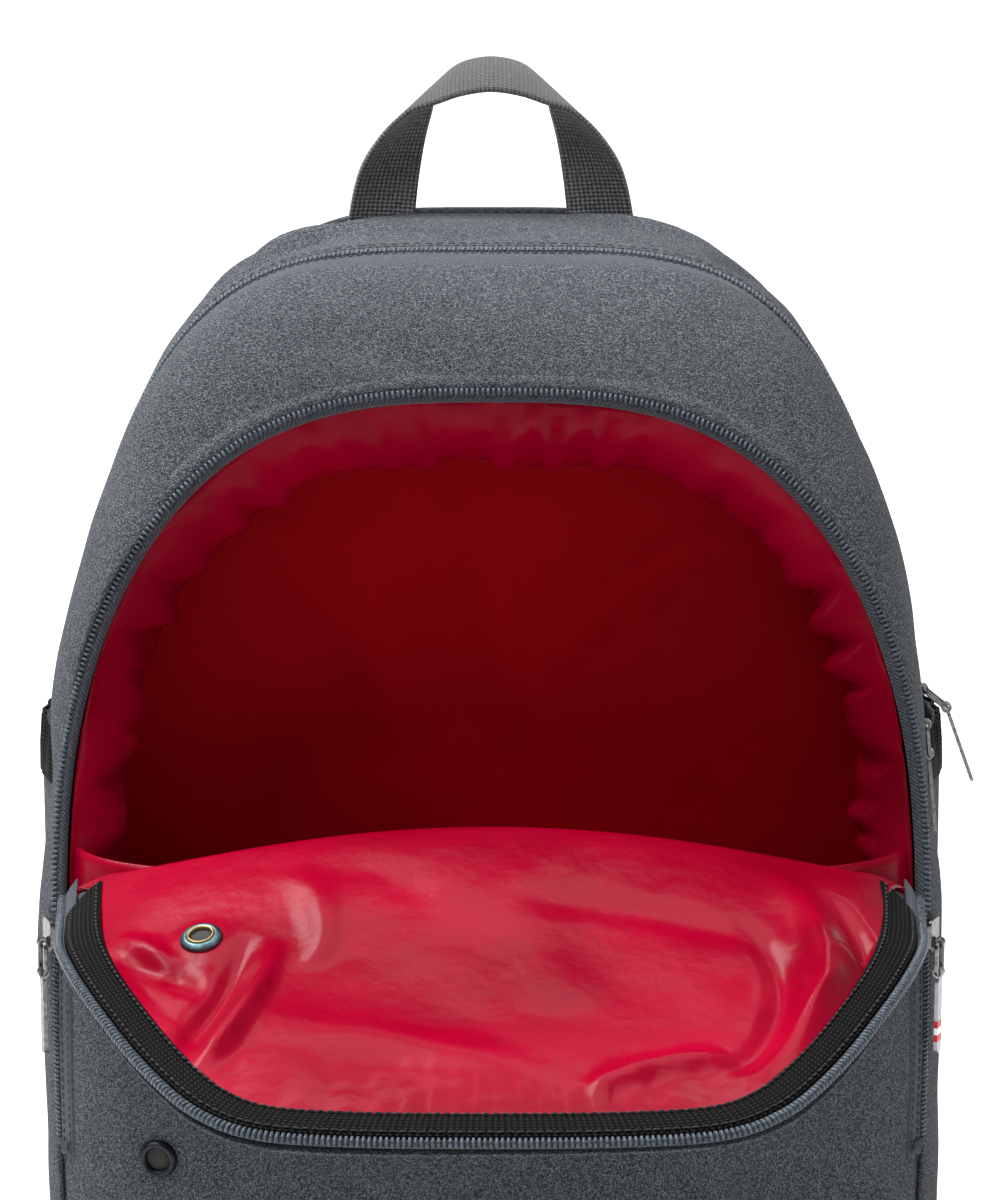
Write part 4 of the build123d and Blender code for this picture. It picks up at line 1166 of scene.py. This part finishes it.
def make_strap(name):
    """A padded strap: crowned section swept down its bowed line, with bound edges."""
    low, high = corners(f"strap_{name}")
    lock_low, lock_high = corners(f"ladder_lock_{name}")
    middle = (low[0] + high[0]) / 2
    line = smooth_line(np.array([(middle, y + STRAP_THICK / 2, z) for y, z in STRAP_LINE]), 150)
    t = np.linspace(0, 1, len(line))
    half = 0.0295 - 0.004 * np.sin(math.pi * t) - 0.010 * np.clip((t - 0.86) / 0.14, 0, 1) ** 2
    tangent = frames_along(line)
    normal = np.cross(tangent, ACROSS)
    normal *= np.sign(normal[:, 1:2])
    angles = np.linspace(0, 2 * math.pi, 36, endpoint=False)
    rings = []
    for a in angles:
        c, s = math.cos(a), math.sin(a)
        across = math.copysign(abs(c) ** 0.55, c)
        out = math.copysign(abs(s) ** 0.8, s)
        rings.append(line + ACROSS * across * half[:, None] + normal * out * STRAP_THICK * 0.48)
    points = np.stack(rings, axis=1)
    points[..., 1] += 0.0008 * wavy(points, (20, 20, 20), 6.0)
    strap = closed_tube(f"strap_pad_{name}", points, HEATHER)
    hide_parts(f"strap_{name}")
    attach(strap, f"strap_{name}")
    for k, (sign, _) in enumerate(SIDES):
        edge = line + ACROSS * sign * half[:, None]
        rim = tube_piece(f"strap_binding_{name}_{k}", edge, 0.0024, BLACK_CLOTH, 8)
        finish_piece(rim, f"strap_{name}", "binding")
        row = edge - ACROSS * sign * 0.0045 + normal * (STRAP_THICK * 0.36)
        seam = stitches(f"strap_stitch_{name}_{k}", row, normal, PALE_THREAD)
        finish_piece(seam, f"strap_{name}", "heather")
    paint(f"ladder_lock_{name}", BUCKLE)
    tab_low = lock_high[2] - 0.005
    tab = np.array([(middle, 0.1140, 0.160), (middle, 0.1215, 0.150), (middle, 0.1185, tab_low + 0.003),
                    (middle, 0.1140, tab_low - 0.001), (middle, 0.1105, tab_low + 0.003)])
    ribbon(f"lock_tab_{name}", tab, WEB_HALF, f"strap_{name}")
    web_low, web_high = corners(f"lower_webbing_{name}")
    route = np.array([(middle, BACK + 0.0030, web_low[2]), (middle, BACK + 0.0050, web_low[2] + 0.022),
                      (middle, web_high[1] - 0.003, web_high[2] - 0.016),
                      (middle, (lock_low[1] + lock_high[1]) / 2 + 0.001, lock_low[2] + 0.004)])
    web = ribbon(f"lower_web_{name}", route, WEB_HALF, None)
    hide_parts(f"lower_webbing_{name}")
    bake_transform(web)
    patch(f"anchor_patch_{name}", *corners(f"strap_anchor_{name}"), HEATHER, f"strap_anchor_{name}")


def ribbon(name, knots, half, body):
    """Flat webbing along a route, its width across the bag."""
    line = smooth_line(knots, 60)
    normal = np.cross(frames_along(line), ACROSS)
    across = np.linspace(-1, 1, 9)
    grid = np.stack([line + ACROSS * a * half for a in across])
    grid = grid + normal * 0.0002
    piece = grid_piece(name, grid, WEBBING, 0.0015, offset=0.0)
    round_edges(piece, 0.0004)
    if body:
        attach(piece, body)
    return piece


INSET = 0.004


def patch(name, low, high, material, node):
    """A sewn-on patch: a crowned plate with box stitching."""
    xs, zs = np.linspace(low[0], high[0], 40), np.linspace(low[2], high[2], 30)
    grid = np.stack(np.meshgrid(xs, zs), axis=-1)
    edge = np.minimum(np.minimum(grid[..., 0] - low[0], high[0] - grid[..., 0]),
                      np.minimum(grid[..., 1] - low[2], high[2] - grid[..., 1]))
    y = BACK + 0.0004 + (high[1] - BACK) * (1 - np.exp(-edge / 0.0015))
    points = np.stack([grid[..., 0], y, grid[..., 1]], axis=-1)
    finish_piece(grid_piece(name, points, material), "root", "heather", node)
    x0, z0, x1, z1 = low[0] + INSET, low[2] + INSET, high[0] - INSET, high[2] - INSET
    y = high[1] + 0.0002
    box = np.array([(x0, y, z0), (x1, y, z0), (x1, y, z1), (x0, y, z1), (x0, y, z0)])
    line = resample(box, 200)
    normal = np.broadcast_to(REARWARD, line.shape)
    finish_piece(stitches(f"{name}_stitch", line, normal, PALE_THREAD), "root", "heather")


# ---------------------------------------------------------------- small metal and vents
FLANGE = ((0.0046, 0.0004), (0.0047, 0.0016), (0.0056, 0.0020), (0.0067, 0.0015), (0.0075, 0.0007),
          (0.0076, -0.0012))
INNER_RIM = ((0.0038, -0.0008), (0.0038, 0.0017), (0.0042, 0.0023), (0.0047, 0.0023), (0.0050, 0.0015))
ROLLED = ((0.0043, -0.0010), (0.0043, 0.0016), (0.0049, 0.0025), (0.0058, 0.0028), (0.0066, 0.0022),
          (0.0071, 0.0008), (0.0071, -0.0014))


def turned(name, profile, centre, axis, material, sides=48):
    """A part turned about its axis from radius and height pairs."""
    axis = axis / np.linalg.norm(axis)
    a = np.cross(axis, UP)
    if np.linalg.norm(a) < 0.1:
        a = np.cross(axis, REARWARD)
    a /= np.linalg.norm(a)
    b = np.cross(axis, a)
    angles = np.linspace(0, 2 * math.pi, sides, endpoint=False)
    around = np.stack([math.cos(q) * a + math.sin(q) * b for q in angles])
    fine = smooth_line(np.array([(r, h, 0.0) for r, h in profile]), 22)
    rings = [centre + around * r + axis * h for r, h, _ in fine]
    return mesh_piece(name, np.concatenate(rings), grid_faces(len(fine), sides, closed=True), material)


def vent_disc(name, centre, axis, radius):
    profile = ((0.00005, 0.0003), (radius * 0.5, 0.0001), (radius, -0.0002))
    return turned(name, profile, centre, axis, FINE_MESH)


FLAP_VENT = (-0.101, -0.1600)
FRONT_VENT = (-0.121, 0.172)


def flap_vent_place():
    x, y = FLAP_VENT
    step = 0.003
    z = float(flap_height(x, y))
    slope_x = float(flap_height(x + step, y) - flap_height(x - step, y)) / (2 * step)
    slope_y = float(flap_height(x, y + step) - flap_height(x, y - step)) / (2 * step)
    return np.array([x, y, z]), np.array([-slope_x, -slope_y, 1.0])


def front_vent_place():
    x, z = FRONT_VENT
    centre = np.array([x, float(front_y(np.array(x), np.array(z))), z])
    return centre, skin_normal(centre[None])[0]


def make_vents():
    centre, axis = flap_vent_place()
    finish_piece(turned("flap_vent_flange", FLANGE, centre, axis, TEAL_METAL), "flap", "teal_metal",
                 "flap_eyelet")
    finish_piece(turned("flap_vent_rim", INNER_RIM, centre, axis, BRASS), "flap", "brass")
    disc_at = centre + axis / np.linalg.norm(axis) * 0.0009
    finish_piece(vent_disc("flap_vent_mesh", disc_at, axis, 0.0044), "flap", "mesh", "flap_mesh")
    centre, axis = front_vent_place()
    finish_piece(turned("front_vent_ring", ROLLED, centre, axis, ENAMEL), "front_shell", "metal",
                 "front_eyelet")
    finish_piece(vent_disc("front_vent_mesh", centre + axis * 0.0006, axis, 0.0045), "front_shell", "mesh",
                 "front_mesh")


def calm(points, centre, reach=0.011):
    """0 at a vent, so that the cloth lies flat under it, and 1 away from it."""
    gap = np.linalg.norm(points - centre, axis=-1)
    return 1 - np.exp(-((gap / reach) ** 4))


def make_hardware():
    for name in ("shoe_left", "shoe_right", "main_upper", "main_lower"):
        for part in ("slider", "ring", "pull"):
            paint(f"{name}_{part}", NICKEL)
    paint("shoe_right_pull", striped_pull())
    make_vents()


RED, WHITE = (0.5, 0.01, 0.02), (0.8, 0.8, 0.78)
STRIPES = ((0.0015, 0.0042, RED), (0.0042, 0.0068, WHITE), (0.0068, 0.0095, RED))


def striped_pull():
    """Nickel tab with a grey enamel face and three plain bands near its end."""
    s = Shader("striped_pull", 0.3, metallic=0.6)
    z = s.node("ShaderNodeSeparateXYZ", {"Vector": s.place((1, 1, 1))}).outputs[2]
    base = corners("shoe_right_pull")[0][2] + 0.003
    scuff = s.noise(500, 3)
    face = s.mix(s.ramp(scuff, 0.3, 0.7), (0.30, 0.31, 0.33), (0.5, 0.51, 0.53))
    for foot, head, colour in STRIPES:
        above = s.math("GREATER_THAN", z, base + foot)
        below = s.math("LESS_THAN", z, base + head)
        face = s.mix(s.math("MULTIPLY", above, below), face, colour)
    s.colour(face)
    s.roughness(scuff, 0.2, 0.22)
    return s.mat


# ---------------------------------------------------------------- floor, light, camera
AIM = (0, -0.05, 0.3)
# name, place, side in metres, watts and the point it faces
LAMPS = (
    ("key", (-1.0, -0.7, 2.2), 0.8, 22, AIM),
    ("left", (-1.0, 0.3, 2.0), 0.8, 36, AIM),
    ("fill", (1.6, -1.5, 1.2), 1.4, 5, AIM),
    ("top", (0.2, -0.05, 2.4), 1.5, 28, AIM),
    ("rear", (0.3, 2.0, 1.9), 1.5, 5, AIM),
    ("backdrop", (0.0, 2.2, 3.0), 2.4, 120, (0.0, 4.2, 0.5)),
)


def make_stage():
    s = Shader("floor", 0.85, specular=0.2)
    grain = s.noise(3, 2)
    s.colour(s.mix(grain, (0.90, 0.90, 0.90), (0.93, 0.93, 0.93)))
    side = 9.0
    profile = [(-6.0, 0.0), (2.6, 0.0), (3.4, 0.10), (4.0, 0.50), (4.3, 0.9)]
    verts = [(x, y, z) for y, z in profile for x in (-side, side)]
    faces = [(2 * k, 2 * k + 1, 2 * k + 3, 2 * k + 2) for k in range(len(profile) - 1)]
    floor = mesh_piece("studio_floor", verts, faces, s.mat)
    world = bpy.data.worlds.new("studio")
    bpy.context.scene.world = world
    world.use_nodes = True
    sky = world.node_tree.nodes["Background"].inputs
    sky["Color"].default_value = (1, 1, 1, 1)
    sky["Strength"].default_value = 0.30
    for light in LAMPS:
        lamp(*light)


def lamp(name, place, size, power, target):
    data = bpy.data.lights.new(name, "AREA")
    data.size = size
    data.energy = power
    made = bpy.data.objects.new(name, data)
    made.location = place
    aim = Vector(target) - Vector(place)
    made.rotation_euler = aim.to_track_quat("-Z", "Y").to_euler()
    bpy.context.scene.collection.objects.link(made)


def make_camera():
    elevation = math.radians(14.0)
    target = Vector((0, -0.060, 0.370))
    distance = 1.8
    data = bpy.data.cameras.new("camera")
    data.lens = 148.5
    data.clip_end = 50
    camera = bpy.data.objects.new("camera", data)
    camera.location = target + distance * Vector((0, -math.cos(elevation), math.sin(elevation)))
    camera.rotation_euler = (target - camera.location).to_track_quat("-Z", "Y").to_euler()
    bpy.context.scene.collection.objects.link(camera)
    bpy.context.scene.camera = camera
    bpy.context.scene.view_settings.view_transform = "Standard"


make_stage()
make_camera()
make_gusset()
make_main_zip()
make_yoke()
make_shoe_zip()
make_lower_cover()
make_flap()
make_shoe_inside()
make_base_and_wall()
make_pockets()
make_handle()
make_back()
make_hardware()
